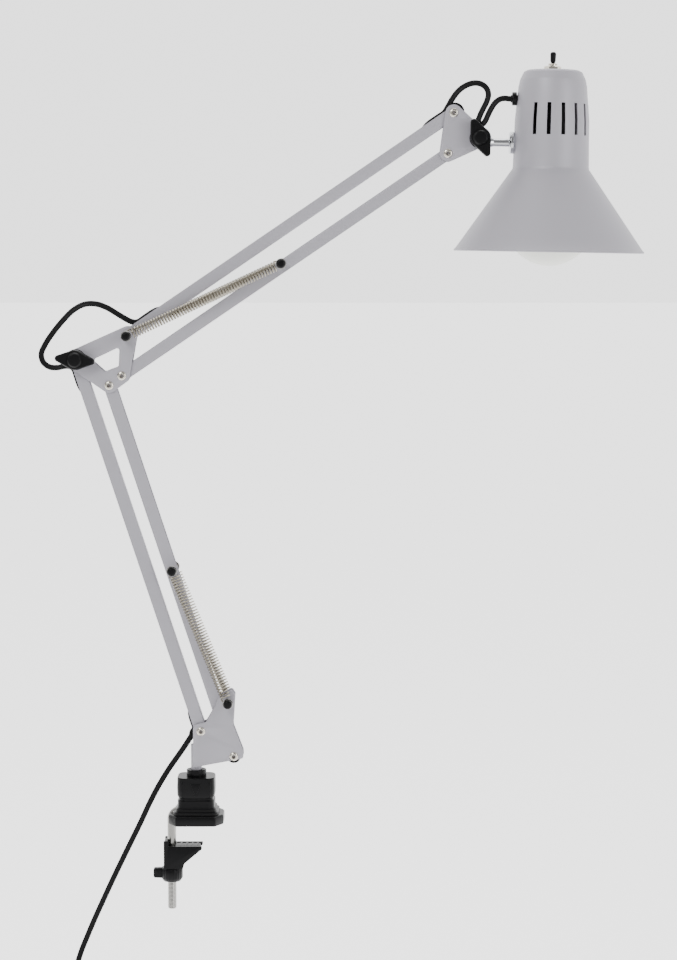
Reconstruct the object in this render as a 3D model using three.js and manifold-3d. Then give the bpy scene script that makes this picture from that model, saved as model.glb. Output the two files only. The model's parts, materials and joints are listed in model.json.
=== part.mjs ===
// Clamp-mounted swing arm desk lamp: a three.js scene graph of its separate pieces.
// Millimetres. +X towards the lamp head, +Z up, arms swing in the XZ plane (Y = 0).
// Origin: on the swivel axis, at the underside of the clamp's foot.
import * as THREE from 'three';
import { mergeVertices } from 'three/addons/utils/BufferGeometryUtils.js';
import Module from 'manifold-3d';

const wasm = await Module();
wasm.setup();

// ---------- driving dimensions ----------
const DEG = Math.PI / 180;
const GAP = 0.3; // clearance kept between neighbouring pieces

const LOWER_LENGTH = 356; // pivot to pivot, both lower bars
const UPPER_LENGTH = 353; // both upper bars
const LOWER_ANGLE = 108.1 * DEG; // lower bars above +X
const UPPER_ANGLE = 34.15 * DEG; // upper bars above +X
const HEAD_TILT = 1 * DEG; // the shade leans clockwise

const BAR_HEIGHT = 11; // in the swing plane
const BAR_HALF_WIDTH = 5; // along Y
const BAR_WALL = 1;
const PLATE_IN = 5.6; // inner face of the bracket plates, |Y|
const PLATE_OUT = 7.1; // outer face
const PIVOT_R = 2.5;
const PIN_R = 2.2;
const PIN_REACH = 21; // |Y| where spring pins end
const SPRING_Y = 13.5; // |Y| of the spring axes
const SPRING_R = 5;
const CABLE_HALF_WIDTH = 2.6; // flat twin-core lead, 5.2 in the swing plane x 3.2
const CABLE_HALF_THICK = 1.6;
const CABLE_OFFSET = 4.9; // cable axis above the bar's axis at its ends
const CABLE_SUNK = 0.2; // the same in the middle of the bar

const CLAMP_GAP = 21; // jaw to foot
const ROD_X = -22.9;
const ROD_R = 4;
const ROD_TOP = 10.6; // height of the rod's upper, level end
const ROD_BEND = 8;
const POST_R = 3.6;
const BRACKET_TUBE_R = 5;

const STEM_R = 3.65;
const SHADE_X = 65.6; // shade axis from the stem's origin
const SHADE_WALL = 0.9;
const SHADE_TOP = 64.6;
const SHADE_RIM = -96.6;
const GLAND_Z = 39; // where the lead enters the shade
const SLOT_Z = 20.8; // middle of the vent slots
const BULB_R = 40;
const BULB_Z = -69;

const HANK_TURN_R = 15.8; // bend radius of the folded mains lead
const HANK_RUN = 78; // straight part of each turn
const HANK_TURNS = 5;
const CORD_PITCH = 5.4;

// ---------- pivots, [x, z] ----------
const plus = (p, q) => [p[0] + q[0], p[1] + q[1]];
const minus = (p, q) => [p[0] - q[0], p[1] - q[1]];
const polar = (length, angle) => [length * Math.cos(angle), length * Math.sin(angle)];
// The point at [along, across] in a frame turned up from +X by the angle.
const turnedOffset = (origin, [along, over], angle) =>
  plus(plus(origin, polar(along, angle)), polar(over, angle + Math.PI / 2));

const BASE_REAR = [4.6, 85];
const LOWER_OFFSET = [29.8, -23.2]; // rear bar to front bar, at both ends
const UPPER_OFFSET = [-5, -35.8]; // top bar to bottom bar, at both ends
const ELBOW_TO_TOP = [46.2, 21.2];
const STEM_OFFSET = [21.9, -25.8]; // top bar's end to the stem's origin
const EYE = [1.4, 3.5]; // head pivot in the stem's own frame

const BASE_FRONT = plus(BASE_REAR, LOWER_OFFSET);
const BASE_SPRING = plus(BASE_FRONT, [-4.8, 50.4]);
const ELBOW = plus(BASE_REAR, polar(LOWER_LENGTH, LOWER_ANGLE));
const ELBOW_TOP = plus(ELBOW, ELBOW_TO_TOP);
const ELBOW_BOTTOM = plus(ELBOW_TOP, UPPER_OFFSET);
const HEAD_TOP = plus(ELBOW_TOP, polar(UPPER_LENGTH, UPPER_ANGLE));
const STEM_ORIGIN = plus(HEAD_TOP, STEM_OFFSET);
const HEAD = turnedOffset(STEM_ORIGIN, EYE, -HEAD_TILT);
const HEAD_OFFSET = minus(HEAD, HEAD_TOP);
const LOWER_SPRING_PIN = [180, -1.3]; // along and across the front bar, from its lower pivot
const UPPER_SPRING_PIN = [175, 2.5]; // along and across the bottom bar, from its elbow pivot
const LOWER_SPRING = turnedOffset(BASE_FRONT, LOWER_SPRING_PIN, LOWER_ANGLE);
const UPPER_SPRING = turnedOffset(ELBOW_BOTTOM, UPPER_SPRING_PIN, UPPER_ANGLE);

// ---------- materials ----------
const look = (hex, roughness, metalness) =>
  new THREE.MeshStandardMaterial({ color: hex, roughness, metalness });
const PAINT = look(0xacabb0, 0.42, 0.55);
const BLACK = look(0x111113, 0.3, 0);
const RUBBER = look(0x17171a, 0.55, 0);
const STEEL = look(0xb4b2ac, 0.35, 1);
const CHROME = look(0xd9dadc, 0.12, 1);
const NICKEL = look(0xcfc9bb, 0.25, 1);
const SPRING_STEEL = look(0x9a9284, 0.35, 1);
const NYLON = look(0x26262a, 0.5, 0);
const BAKELITE = look(0x1a1a1c, 0.3, 0);
const BULB_GLASS = look(0xe8e8e0, 0.25, 0);

// ---------- solids ----------
function solid(geometry) {
  const bare = geometry.clone();
  bare.deleteAttribute('normal');
  bare.deleteAttribute('uv');
  const merged = mergeVertices(bare, 1e-4);
  return new wasm.Manifold(new wasm.Mesh({
    numProp: 3,
    vertProperties: merged.attributes.position.array,
    triVerts: merged.index.array,
  }));
}

function geometryOf(manifold) {
  const mesh = manifold.getMesh();
  const geometry = new THREE.BufferGeometry();
  geometry.setAttribute('position', new THREE.BufferAttribute(mesh.vertProperties, 3));
  geometry.setIndex(new THREE.BufferAttribute(mesh.triVerts, 1));
  geometry.computeVertexNormals();
  return geometry;
}

function add(group, name, shape, material) {
  const mesh = new THREE.Mesh(geometryOf(shape), material);
  mesh.name = name;
  group.add(mesh);
  return mesh;
}

// The same solid moved by an offset, or mirrored to the other side of the swing plane.
function moved(shape, offset) {
  const geometry = geometryOf(shape);
  geometry.translate(...offset);
  return solid(geometry);
}

function mirrored(shape) {
  const geometry = geometryOf(shape);
  geometry.scale(1, -1, 1);
  const index = geometry.index.array;
  for (let i = 0; i < index.length; i += 3) [index[i], index[i + 1]] = [index[i + 1], index[i]];
  return solid(geometry);
}

// A box between two corners.
function box(low, high) {
  const size = high.map((h, i) => h - low[i]);
  const geometry = new THREE.BoxGeometry(...size);
  geometry.translate(...low.map((l, i) => l + size[i] / 2));
  return solid(geometry);
}

// A prism of an XZ outline between two Y values.
function prism(outline, y0, y1) {
  const shape = new THREE.Shape(outline.map(([x, z]) => new THREE.Vector2(x, z)));
  const geometry = new THREE.ExtrudeGeometry(shape, { depth: y1 - y0, bevelEnabled: false });
  geometry.rotateX(Math.PI / 2);
  geometry.translate(0, y1, 0);
  return solid(geometry);
}

// A prism of an XY outline between two Z values.
function upright(outline, z0, z1) {
  const shape = new THREE.Shape(outline.map(([x, y]) => new THREE.Vector2(x, y)));
  const geometry = new THREE.ExtrudeGeometry(shape, { depth: z1 - z0, bevelEnabled: false });
  geometry.translate(0, 0, z0);
  return solid(geometry);
}

// A body turned about an axis; profile points are [radius, distance along the axis].
function turned(profile, sides, axis = 'z', at = [0, 0, 0]) {
  const geometry = new THREE.LatheGeometry(
    profile.map(([r, h]) => new THREE.Vector2(r, h)), sides);
  if (axis === 'z') geometry.rotateX(Math.PI / 2);
  if (axis === 'x') geometry.rotateZ(-Math.PI / 2);
  geometry.translate(...at);
  return solid(geometry);
}

const rodProfile = (r, h0, h1) => [[0, h0], [r, h0], [r, h1], [0, h1]];
const ringProfile = (r0, r1, h0, h1) => [[r0, h0], [r1, h0], [r1, h1], [r0, h1], [r0, h0]];

// A cylinder along Y through an XZ point.
const across = ([x, z], r, y0, y1, sides = 12) =>
  turned(rodProfile(r, y0, y1), sides, 'y', [x, 0, z]);

// The outline around a set of circles {at, r} listed counter-clockwise.
function outlineAround(circles, step = 30 * DEG) {
  const count = circles.length;
  const leave = circles.map((c, i) => {
    const next = circles[(i + 1) % count];
    const [dx, dz] = minus(next.at, c.at);
    return Math.atan2(dz, dx) - Math.acos((c.r - next.r) / Math.hypot(dx, dz));
  });
  const points = [];
  circles.forEach((c, i) => {
    const start = leave[(i + count - 1) % count];
    const turn = ((leave[i] - start) % (2 * Math.PI) + 2 * Math.PI) % (2 * Math.PI);
    const steps = Math.max(1, Math.ceil(turn / step));
    for (let k = 0; k <= steps; k += 1) {
      points.push(plus(c.at, polar(c.r, start + turn * k / steps)));
    }
  });
  return points;
}

// A polygon whose corners [x, z, r] are rounded by arcs of their own radius.
function roundedPolygon(corners, steps = 4) {
  const points = [];
  corners.forEach(([x, z, r], i) => {
    const before = corners[(i + corners.length - 1) % corners.length];
    const after = corners[(i + 1) % corners.length];
    if (!r) {
      points.push([x, z]);
      return;
    }
    const here = new THREE.Vector2(x, z);
    const toBefore = new THREE.Vector2(before[0] - x, before[1] - z).normalize();
    const toAfter = new THREE.Vector2(after[0] - x, after[1] - z).normalize();
    const half = toBefore.angleTo(toAfter) / 2;
    const reach = r / Math.tan(half);
    const first = here.clone().addScaledVector(toBefore, reach);
    const last = here.clone().addScaledVector(toAfter, reach);
    const curve = new THREE.QuadraticBezierCurve(first, here, last);
    curve.getPoints(steps).forEach((p) => points.push([p.x, p.y]));
  });
  return points;
}

// A tube of an elliptical section along a curve through [x, z] or [x, z, y] points.
function flatCable(points, halfAcross, halfInPlane, steps, sides = 8) {
  const curve = new THREE.CatmullRomCurve3(
    points.map(([x, z, y = 0]) => new THREE.Vector3(x, y, z)), false, 'centripetal');
  const section = new THREE.Shape();
  for (let k = 0; k < sides; k += 1) {
    const angle = (k + 0.5) * 2 * Math.PI / sides;
    const [u, v] = [halfAcross * Math.cos(angle), halfInPlane * Math.sin(angle)];
    if (k === 0) section.moveTo(u, v);
    else section.lineTo(u, v);
  }
  const geometry = new THREE.ExtrudeGeometry(section, {
    extrudePath: curve, steps, bevelEnabled: false });
  return solid(geometry);
}

function frameAt([x, z], angle = 0) {
  const group = new THREE.Group();
  group.position.set(x, 0, z);
  group.rotation.y = -angle;
  return group;
}

// ---------- repeated fittings ----------
// Tubular rivet through both plates, with a rolled head on each side.
function rivet(at) {
  const end = PLATE_OUT + 1.3;
  const head = PLATE_OUT + GAP;
  const bottom = PLATE_OUT - 0.3;
  const profile = [
    [0, -bottom], [1.4, -bottom], [1.4, -end], [4, -end], [4, -head], [PIVOT_R, -head],
    [PIVOT_R, head], [4, head], [4, end], [1.4, end], [1.4, bottom], [0, bottom]];
  return turned(profile, 10, 'y', [at[0], 0, at[1]]);
}

// Black cap pressed on the end of a spring pin; side is -1 at the front, 1 at the back.
function pinCap(at, side) {
  const [inner, seat, outer] = [SPRING_Y + SPRING_R + 0.4, PIN_REACH + GAP, PIN_REACH + 2];
  const bore = PIN_R + GAP;
  const profile = [
    [bore, inner], [3.4, inner], [4, inner + 0.8], [4, outer - 1.2], [3, outer],
    [0, outer], [0, seat], [bore, seat], [bore, inner]];
  const cap = turned(profile, 12, 'y');
  return moved(side > 0 ? cap : mirrored(cap), [at[0], 0, at[1]]);
}

function pinWithCaps(group, name, at) {
  add(group, `${name}_pin`, across(at, PIN_R, -PIN_REACH, PIN_REACH), STEEL);
  add(group, `${name}_pin_cap_front`, pinCap(at, -1), BLACK);
  add(group, `${name}_pin_cap_back`, pinCap(at, 1), BLACK);
}

// Closed outer shape of a tension spring between two pins.
function spring(from, to, side) {
  const clear = PIN_R + 3.4;
  const start = new THREE.Vector3(from[0], side * SPRING_Y, from[1]);
  const end = new THREE.Vector3(to[0], side * SPRING_Y, to[1]);
  const length = start.distanceTo(end) - 2 * clear;
  const geometry = new THREE.LatheGeometry(
    rodProfile(SPRING_R, -length / 2, length / 2).map(([r, h]) => new THREE.Vector2(r, h)), 12);
  const direction = end.clone().sub(start).normalize();
  geometry.applyQuaternion(
    new THREE.Quaternion().setFromUnitVectors(new THREE.Vector3(0, 1, 0), direction));
  geometry.translate(...start.add(end).multiplyScalar(0.5).toArray());
  return solid(geometry);
}

function springPair(group, name, from, to) {
  add(group, `${name}_spring_front`, spring(from, to, -1), SPRING_STEEL);
  add(group, `${name}_spring_back`, spring(from, to, 1), SPRING_STEEL);
}

// U-channel bar along +X from its first pivot; open is 1 or -1, the side of the open edge.
function channelBar(length, open, holes) {
  const end = BAR_HEIGHT / 2;
  const outline = outlineAround([{ at: [-1, 0], r: end }, { at: [length + 1, 0], r: end }]);
  const inner = BAR_HALF_WIDTH - BAR_WALL;
  const floor = -open * (end - BAR_WALL);
  const lip = open * (end + 1);
  let bar = prism(outline, -BAR_HALF_WIDTH, BAR_HALF_WIDTH).subtract(box(
    [-20, -inner, Math.min(floor, lip)], [length + 20, inner, Math.max(floor, lip)]));
  holes.forEach(([along, over, r]) => {
    bar = bar.subtract(across([along, over], r + GAP, -8, 8));
  });
  return bar;
}

// The lead that lies in a bar's channel and rises over the pivots at both ends.
function channelLead(first, last) {
  const rise = 26;
  const points = [
    [first, CABLE_OFFSET], [first + rise / 2, CABLE_OFFSET - 0.4], [first + rise, CABLE_SUNK],
    [(first + last) / 2, CABLE_SUNK],
    [last - rise, CABLE_SUNK], [last - rise / 2, CABLE_OFFSET - 0.4], [last, CABLE_OFFSET]];
  return flatCable(points, CABLE_HALF_THICK, CABLE_HALF_WIDTH, 16);
}

// The point on a bar's lead at a distance along the bar.
function leadPoint(at, angle, along) {
  const normal = polar(CABLE_OFFSET, angle + Math.PI / 2);
  return plus(plus(at, polar(along, angle)), normal);
}

// Clamping bolt with a round shaft and a hexagonal head at the back.
function clampBolt(at) {
  const shaft = across(at, PIVOT_R, -17, PLATE_OUT + 1);
  return shaft.add(across(at, 5, PLATE_OUT + GAP, PLATE_OUT + 4.5, 6));
}

const WASHER_OUT = PLATE_OUT + 1.8;
const frictionWasher = (at) => turned(
  ringProfile(PIVOT_R + GAP, 9.4, -WASHER_OUT, -PLATE_OUT - GAP), 24, 'y', [at[0], 0, at[1]]);

// Moulded wing nut on the front of a clamping bolt, its wings along the given angle.
function wingNut(at, angle) {
  const [back, front] = [-WASHER_OUT - GAP, -WASHER_OUT - 12];
  const tip = polar(14.8, angle);
  const centre = { at, r: 8.2 };
  const wings = prism(outlineAround([
    { at: minus(at, tip), r: 3 }, centre, { at: plus(at, tip), r: 3 }, centre]),
  front + 2, back - 2);
  const hub = across(at, 8.2, front, back, 24);
  const bore = across(at, PIVOT_R + GAP, -17 - GAP, back + 1);
  return wings.add(hub).subtract(bore);
}

// ---------- clamp ----------
function clampBase() {
  const foot = [[-25, -11], [-18, -22], [18, -22], [25, -11], [25, 11], [18, 22], [-18, 22], [-25, 11]];
  const flange = upright(foot, 0, 9);
  const shoulder = (grow, z0, z1) => upright(roundedPolygon([
    [-17 - grow, -15 - grow, 8], [17 + grow, -15 - grow, 8],
    [17 + grow, 15 + grow, 8], [-17 - grow, 15 + grow, 8]]), z0, z1);
  const neck = shoulder(-1, 22, 24.5);
  const step = shoulder(3.5, 8, 12).add(shoulder(1.5, 11, 15)).add(shoulder(0, 14, 22.5));
  const block = shoulder(0, 24, 43);
  const collar = turned(rodProfile(9, 42, 49), 28);
  const postBore = turned(rodProfile(7.2 + GAP, 20, 60), 24);
  const rodSlot = box([-30, -ROD_R - GAP, -1], [ROD_X + ROD_R + GAP, ROD_R + GAP, 16]);
  const bendSlot = box(
    [ROD_X, -ROD_R - GAP, ROD_TOP - ROD_BEND], [ROD_X + ROD_BEND + 1, ROD_R + GAP, ROD_TOP]);
  const rodBore = turned(rodProfile(ROD_R + 2 * GAP, ROD_X, -7), 16, 'x', [0, 0, ROD_TOP]);
  return flange.add(step).add(neck).add(block).add(collar)
    .subtract(postBore).subtract(rodSlot).subtract(bendSlot).subtract(rodBore);
}

// Bent steel rod: hooks out of the base, turns down and carries the jaw on its thread.
function clampRod() {
  const high = ROD_TOP - ROD_BEND;
  const upRod = turned(rodProfile(ROD_R, -81, high), 12, 'z', [ROD_X, 0, 0]);
  const inRod = turned(rodProfile(ROD_R, ROD_X + ROD_BEND, -8), 12, 'x', [0, 0, ROD_TOP]);
  const bend = new THREE.QuadraticBezierCurve3(
    new THREE.Vector3(ROD_X, 0, high - 0.5), new THREE.Vector3(ROD_X, 0, ROD_TOP),
    new THREE.Vector3(ROD_X + ROD_BEND + 0.5, 0, ROD_TOP));
  const section = new THREE.Shape();
  section.absarc(0, 0, ROD_R, 0, 2 * Math.PI);
  const elbow = solid(new THREE.ExtrudeGeometry(section, {
    extrudePath: bend, steps: 6, curveSegments: 12, bevelEnabled: false }));
  return upRod.add(elbow).add(inRod);
}

function clampJaw() {
  const top = -CLAMP_GAP;
  const outline = [
    [-29.8, top + 5], [-25.4, top + 5], [-25.4, top], [5, top], [5, top - 2.5],
    [-11, top - 16], [-12.4, top - 21], [-29.8, top - 21]];
  return prism(outline, -11, 11).subtract(turned(
    rodProfile(ROD_R + 0.5, top - 30, top + 10), 16, 'z', [ROD_X, 0, 0]));
}

// Thumb nut with one long wing, under the jaw.
function clampNut() {
  const [top, low] = [-CLAMP_GAP - 21 - GAP, -CLAMP_GAP - 34];
  const hub = turned([
    [0, low], [8.4, low], [10, low + 3], [10, top], [0, top]], 24, 'z', [ROD_X, 0, 0]);
  const wing = box([ROD_X - 17, -3.4, low + 3], [ROD_X - 8, 3.4, top - 0.8]);
  const bore = turned(rodProfile(ROD_R + GAP, low - 1, top + 1), 24, 'z', [ROD_X, 0, 0]);
  return hub.add(wing).subtract(bore);
}

function clamp() {
  const group = new THREE.Group();
  add(group, 'clamp_base', clampBase(), BLACK);
  add(group, 'clamp_rod', clampRod(), STEEL);
  const bush = turned([
    [POST_R + GAP, 20.3], [7.2, 20.3], [7.2, 49], [BRACKET_TUBE_R + 0.5, 49],
    [BRACKET_TUBE_R + 0.5, 44], [POST_R + GAP, 44], [POST_R + GAP, 20.3]], 24);
  add(group, 'post_bush', bush, NYLON);
  add(group, 'clamp_jaw', clampJaw(), BLACK);
  add(group, 'clamp_nut', clampNut(), BLACK);
  return group;
}

// ---------- swivel base ----------
function baseBracket() {
  const [rearX, rearZ] = BASE_REAR;
  const [frontX, frontZ] = BASE_FRONT;
  const outline = roundedPolygon([
    [-2.6, 51.6, 0], [frontX + 8.9, 60, 3], [frontX + 8.6, 66.5, 3], [frontX - 0.4, 90, 6],
    [frontX + 1.4, 118.5, 2], [frontX - 1.6, 123.6, 3], [21, 117, 5], [16, 105, 4],
    [rearX + 4.6, rearZ + 8.4, 3], [-2.6, rearZ + 6, 5]]);
  const plate = prism(outline, -PLATE_OUT, -PLATE_IN);
  const tube = turned(ringProfile(POST_R + GAP, BRACKET_TUBE_R, 45, 72), 24);
  const web = prism([[1.2, 53.4], [6.3, 53.4], [6.3, 70.4], [1.2, 70.4]], -PLATE_IN - 0.43, -4.41);
  let half = plate.add(web);
  [[BASE_REAR, PIVOT_R], [BASE_FRONT, PIVOT_R], [BASE_SPRING, PIN_R]].forEach(([at, r]) => {
    half = half.subtract(across(at, r + GAP, -8, 0));
  });
  return half.add(mirrored(half)).add(tube);
}

// Short stud riveted to one plate of the bracket; side is -1 at the front, 1 at the back.
function baseStud(side) {
  const profile = [
    [0, PLATE_IN + 0.1], [PIN_R, PLATE_IN + 0.1], [PIN_R, PLATE_OUT + GAP],
    [3.2, PLATE_OUT + GAP], [3.2, PLATE_OUT + 1.1], [PIN_R, PLATE_OUT + 1.1],
    [PIN_R, PIN_REACH], [0, PIN_REACH]];
  const stud = turned(profile, 12, 'y');
  return moved(side > 0 ? stud : mirrored(stud), [BASE_SPRING[0], 0, BASE_SPRING[1]]);
}

function swivelBase() {
  const group = new THREE.Group();
  add(group, 'swivel_post', turned(rodProfile(POST_R, 20.6, 73), 20), STEEL);
  add(group, 'base_bracket', baseBracket(), PAINT);
  add(group, 'base_rear_rivet', rivet(BASE_REAR), NICKEL);
  add(group, 'base_front_rivet', rivet(BASE_FRONT), NICKEL);
  add(group, 'base_stud_front', baseStud(-1), STEEL);
  add(group, 'base_stud_back', baseStud(1), STEEL);
  add(group, 'base_stud_cap_front', pinCap(BASE_SPRING, -1), BLACK);
  add(group, 'base_stud_cap_back', pinCap(BASE_SPRING, 1), BLACK);
  return group;
}

// ---------- arms ----------
function lowerArm() {
  const group = new THREE.Group();
  const rear = frameAt(BASE_REAR, LOWER_ANGLE);
  add(rear, 'lower_rear_bar',
    channelBar(LOWER_LENGTH, 1, [[0, 0, PIVOT_R], [LOWER_LENGTH, 0, PIVOT_R]]), PAINT);
  add(rear, 'lower_cable', channelLead(4, LOWER_LENGTH - 12), RUBBER);
  const front = frameAt(BASE_FRONT, LOWER_ANGLE);
  const holes = [[0, 0, PIVOT_R], [LOWER_LENGTH, 0, PIVOT_R], [...LOWER_SPRING_PIN, PIN_R]];
  add(front, 'lower_front_bar', channelBar(LOWER_LENGTH, -1, holes), PAINT);
  group.add(rear, front);
  pinWithCaps(group, 'lower_spring', LOWER_SPRING);
  springPair(group, 'lower', BASE_SPRING, LOWER_SPRING);
  return group;
}

function upperArm() {
  const group = new THREE.Group();
  const top = frameAt(ELBOW_TOP, UPPER_ANGLE);
  add(top, 'upper_top_bar',
    channelBar(UPPER_LENGTH, 1, [[0, 0, PIN_R], [UPPER_LENGTH, 0, PIVOT_R]]), PAINT);
  add(top, 'upper_cable', channelLead(20.3, UPPER_LENGTH - 12), RUBBER);
  const bottom = frameAt(ELBOW_BOTTOM, UPPER_ANGLE);
  const holes = [[0, 0, PIVOT_R], [UPPER_LENGTH, 0, PIVOT_R], [...UPPER_SPRING_PIN, PIN_R]];
  add(bottom, 'upper_bottom_bar', channelBar(UPPER_LENGTH, -1, holes), PAINT);
  group.add(top, bottom);
  pinWithCaps(group, 'upper_spring', UPPER_SPRING);
  springPair(group, 'upper', ELBOW_TOP, UPPER_SPRING);
  return group;
}

// ---------- elbow ----------
function elbowPlate() {
  const rivetLow = LOWER_OFFSET;
  const rivetRight = minus(ELBOW_BOTTOM, ELBOW);
  const outline = outlineAround([
    { at: [0, 0], r: 9 }, { at: rivetLow, r: 6.8 }, { at: rivetRight, r: 7 },
    { at: ELBOW_TO_TOP, r: 8.5 }]);
  const window = outlineAround([
    { at: [17.9, -1.2], r: 2 }, { at: [26.2, -8.6], r: 2 }, { at: [36.6, -4.6], r: 2 },
    { at: [37.2, 8], r: 2 }], 45 * DEG);
  let plate = prism(outline, -PLATE_OUT, -PLATE_IN).subtract(prism(window, -9, -4));
  [[[0, 0], PIVOT_R], [rivetLow, PIVOT_R], [rivetRight, PIVOT_R], [ELBOW_TO_TOP, PIN_R]]
    .forEach(([at, r]) => {
      plate = plate.subtract(across(at, r + GAP, -9, 0));
    });
  return plate;
}

function elbowCable() {
  const lead = leadPoint(BASE_REAR, LOWER_ANGLE, LOWER_LENGTH - 11.7);
  const tail = leadPoint(ELBOW_TOP, UPPER_ANGLE, 20);
  return flatCable([
    lead, [-107.9, 413.5], [-109.9, 416], [-113, 417.1], [-117.6, 417], [-123.4, 415.8], [-130.6, 416.6],
    [-136, 421], [-137.6, 428], [-134, 436.6], [-126.6, 447.6], [-117.3, 458.8],
    [-108.2, 467.6], [-98.5, 472.6], [-88, 473], [-78.4, 469.8], [-70.2, 465],
    [-63, 460.6], [-57.8, 457.8], [-53.4, 456.6], [-49.4, 457.5], tail],
  CABLE_HALF_THICK, CABLE_HALF_WIDTH, 44);
}

function elbow() {
  const group = new THREE.Group();
  const plates = frameAt(ELBOW);
  add(plates, 'elbow_plate_front', elbowPlate(), PAINT);
  add(plates, 'elbow_plate_back', mirrored(elbowPlate()), PAINT);
  group.add(plates);
  add(group, 'elbow_bolt', clampBolt(ELBOW), STEEL);
  add(group, 'elbow_washer', frictionWasher(ELBOW), BLACK);
  add(group, 'elbow_wing_nut', wingNut(ELBOW, -5.7 * DEG), BLACK);
  add(group, 'elbow_left_rivet', rivet(plus(ELBOW, LOWER_OFFSET)), NICKEL);
  add(group, 'elbow_right_rivet', rivet(ELBOW_BOTTOM), NICKEL);
  pinWithCaps(group, 'elbow_spring', ELBOW_TOP);
  add(group, 'elbow_cable', elbowCable(), RUBBER);
  return group;
}

// ---------- head ----------
function headPlate() {
  const outline = outlineAround([
    { at: [0, 0], r: 7.3 }, { at: UPPER_OFFSET, r: 7.3 }, { at: HEAD_OFFSET, r: 8 }]);
  let plate = prism(outline, -PLATE_OUT, -PLATE_IN);
  [[0, 0], UPPER_OFFSET, HEAD_OFFSET].forEach((at) => {
    plate = plate.subtract(across(at, PIVOT_R + GAP, -9, 0));
  });
  return plate;
}

function headCable() {
  const lead = leadPoint(ELBOW_TOP, UPPER_ANGLE, UPPER_LENGTH - 11.7);
  return flatCable([
    lead, [223.9, 643], [227.6, 648.8], [231.6, 655.8], [236.8, 662.4], [242.8, 666.8],
    [249.8, 669.2], [256.4, 668.6], [261.4, 665], [263.4, 659.4], [262, 653.2],
    [258.9, 646.8], [256, 640.6], [254.5, 635.2], [256.2, 633.4], [258.6, 633.3],
    [260.6, 635.6], [262.9, 640.5], [265.9, 646.6], [269.6, 652], [274.2, 655.2],
    [278.6, 655.8], [281.6, 655.4]], CABLE_HALF_THICK, CABLE_HALF_WIDTH, 64);
}

function headBracket() {
  const group = new THREE.Group();
  const plates = frameAt(HEAD_TOP);
  add(plates, 'head_plate_front', headPlate(), PAINT);
  add(plates, 'head_plate_back', mirrored(headPlate()), PAINT);
  group.add(plates);
  add(group, 'head_top_rivet', rivet(HEAD_TOP), NICKEL);
  add(group, 'head_bottom_rivet', rivet(plus(HEAD_TOP, UPPER_OFFSET)), NICKEL);
  add(group, 'head_bolt', clampBolt(HEAD), STEEL);
  add(group, 'head_washer', frictionWasher(HEAD), BLACK);
  add(group, 'head_wing_nut', wingNut(HEAD, -66.6 * DEG), BLACK);
  add(group, 'head_cable', headCable(), RUBBER);
  return group;
}

// ---------- shade, in the stem's frame ----------
function shadeShell() {
  const side = [
    [27.8, SHADE_TOP - 5.4], [29.2, SHADE_TOP - 7.4], [30.5, 50], [33.1, 20.5], [34, -22.4],
    [84.6, SHADE_RIM + 1.5], [85.3, SHADE_RIM]];
  const crown = [[22.9, SHADE_TOP], [26, SHADE_TOP - 1.6]];
  const outer = [...crown, ...side];
  const inner = outer.map(([r, z]) => [r - SHADE_WALL, z - (z > SHADE_TOP - 6 ? SHADE_WALL : 0)]);
  const hole = 5.8;
  const profile = [
    [hole, SHADE_TOP - SHADE_WALL], [hole, SHADE_TOP], ...outer, ...inner.reverse(),
    [hole, SHADE_TOP - SHADE_WALL]].reverse();
  return turned(profile, 44, 'z', [SHADE_X, 0, 0]);
}

function ventSlot(angle) {
  const geometry = new THREE.BoxGeometry(10, 3.6, 28);
  geometry.translate(31, 0, SLOT_Z);
  geometry.rotateZ(angle);
  geometry.translate(SHADE_X, 0, 0);
  return solid(geometry);
}

function shade() {
  let shell = shadeShell();
  for (let k = -5; k <= 5; k += 1) shell = shell.subtract(ventSlot((22.5 * k - 9.5) * DEG));
  const stemHole = turned(rodProfile(STEM_R + GAP, 20, 45), 16, 'x');
  const glandHole = turned(rodProfile(3.4 + GAP, 20, 45), 16, 'x', [0, 0, GLAND_Z]);
  return shell.subtract(stemHole).subtract(glandHole);
}

function headStem() {
  const eye = across(EYE, 10.4, -4.5, 4.5, 32);
  const stem = turned(rodProfile(STEM_R, 5, 39), 20, 'x');
  return eye.add(stem).subtract(across(EYE, PIVOT_R + GAP, -6, 6));
}

function lampHolder() {
  const shell = turned([
    [14.2, -8], [17.5, -8], [17.5, 34], [15.5, 38], [0, 38], [0, 16], [14.2, 16], [14.2, -8]],
    28, 'z', [SHADE_X, 0, 0]);
  const leg = (side) => box(
    [SHADE_X - 5, side > 0 ? 13 : -14.4, 36], [SHADE_X + 5, side > 0 ? 14.4 : -13, SHADE_TOP - 1.3]);
  return shell.add(leg(-1)).add(leg(1));
}

function bulb() {
  const profile = [[0, -BULB_R + BULB_Z]];
  const neckAngle = 64.85 * DEG;
  const steps = 10;
  for (let k = 1; k <= steps; k += 1) {
    const angle = -Math.PI / 2 + (Math.PI / 2 + neckAngle) * k / steps;
    profile.push([BULB_R * Math.cos(angle), BULB_Z + BULB_R * Math.sin(angle)]);
  }
  profile.push([14.6, -25], [13, -18], [13, 6], [9, 9], [4.5, 11], [4.5, 13], [0, 13]);
  return turned(profile, 24, 'z', [SHADE_X, 0, 0]);
}

const SWITCH_X = SHADE_X - 0.5;
const LEVER_PIVOT_Z = 62;

function switchBody() {
  const can = box([SWITCH_X - 6.5, -6, 44], [SWITCH_X + 6.5, 6, SHADE_TOP - SHADE_WALL - GAP]);
  const bush = turned(rodProfile(4, 50, 70.5), 20, 'z', [SWITCH_X, 0, 0]);
  const mouth = turned([[0, 54], [2.6, 54], [3.2, 72], [0, 72]], 20, 'z', [SWITCH_X, 0, 0]);
  return can.add(bush).subtract(mouth);
}

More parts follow.
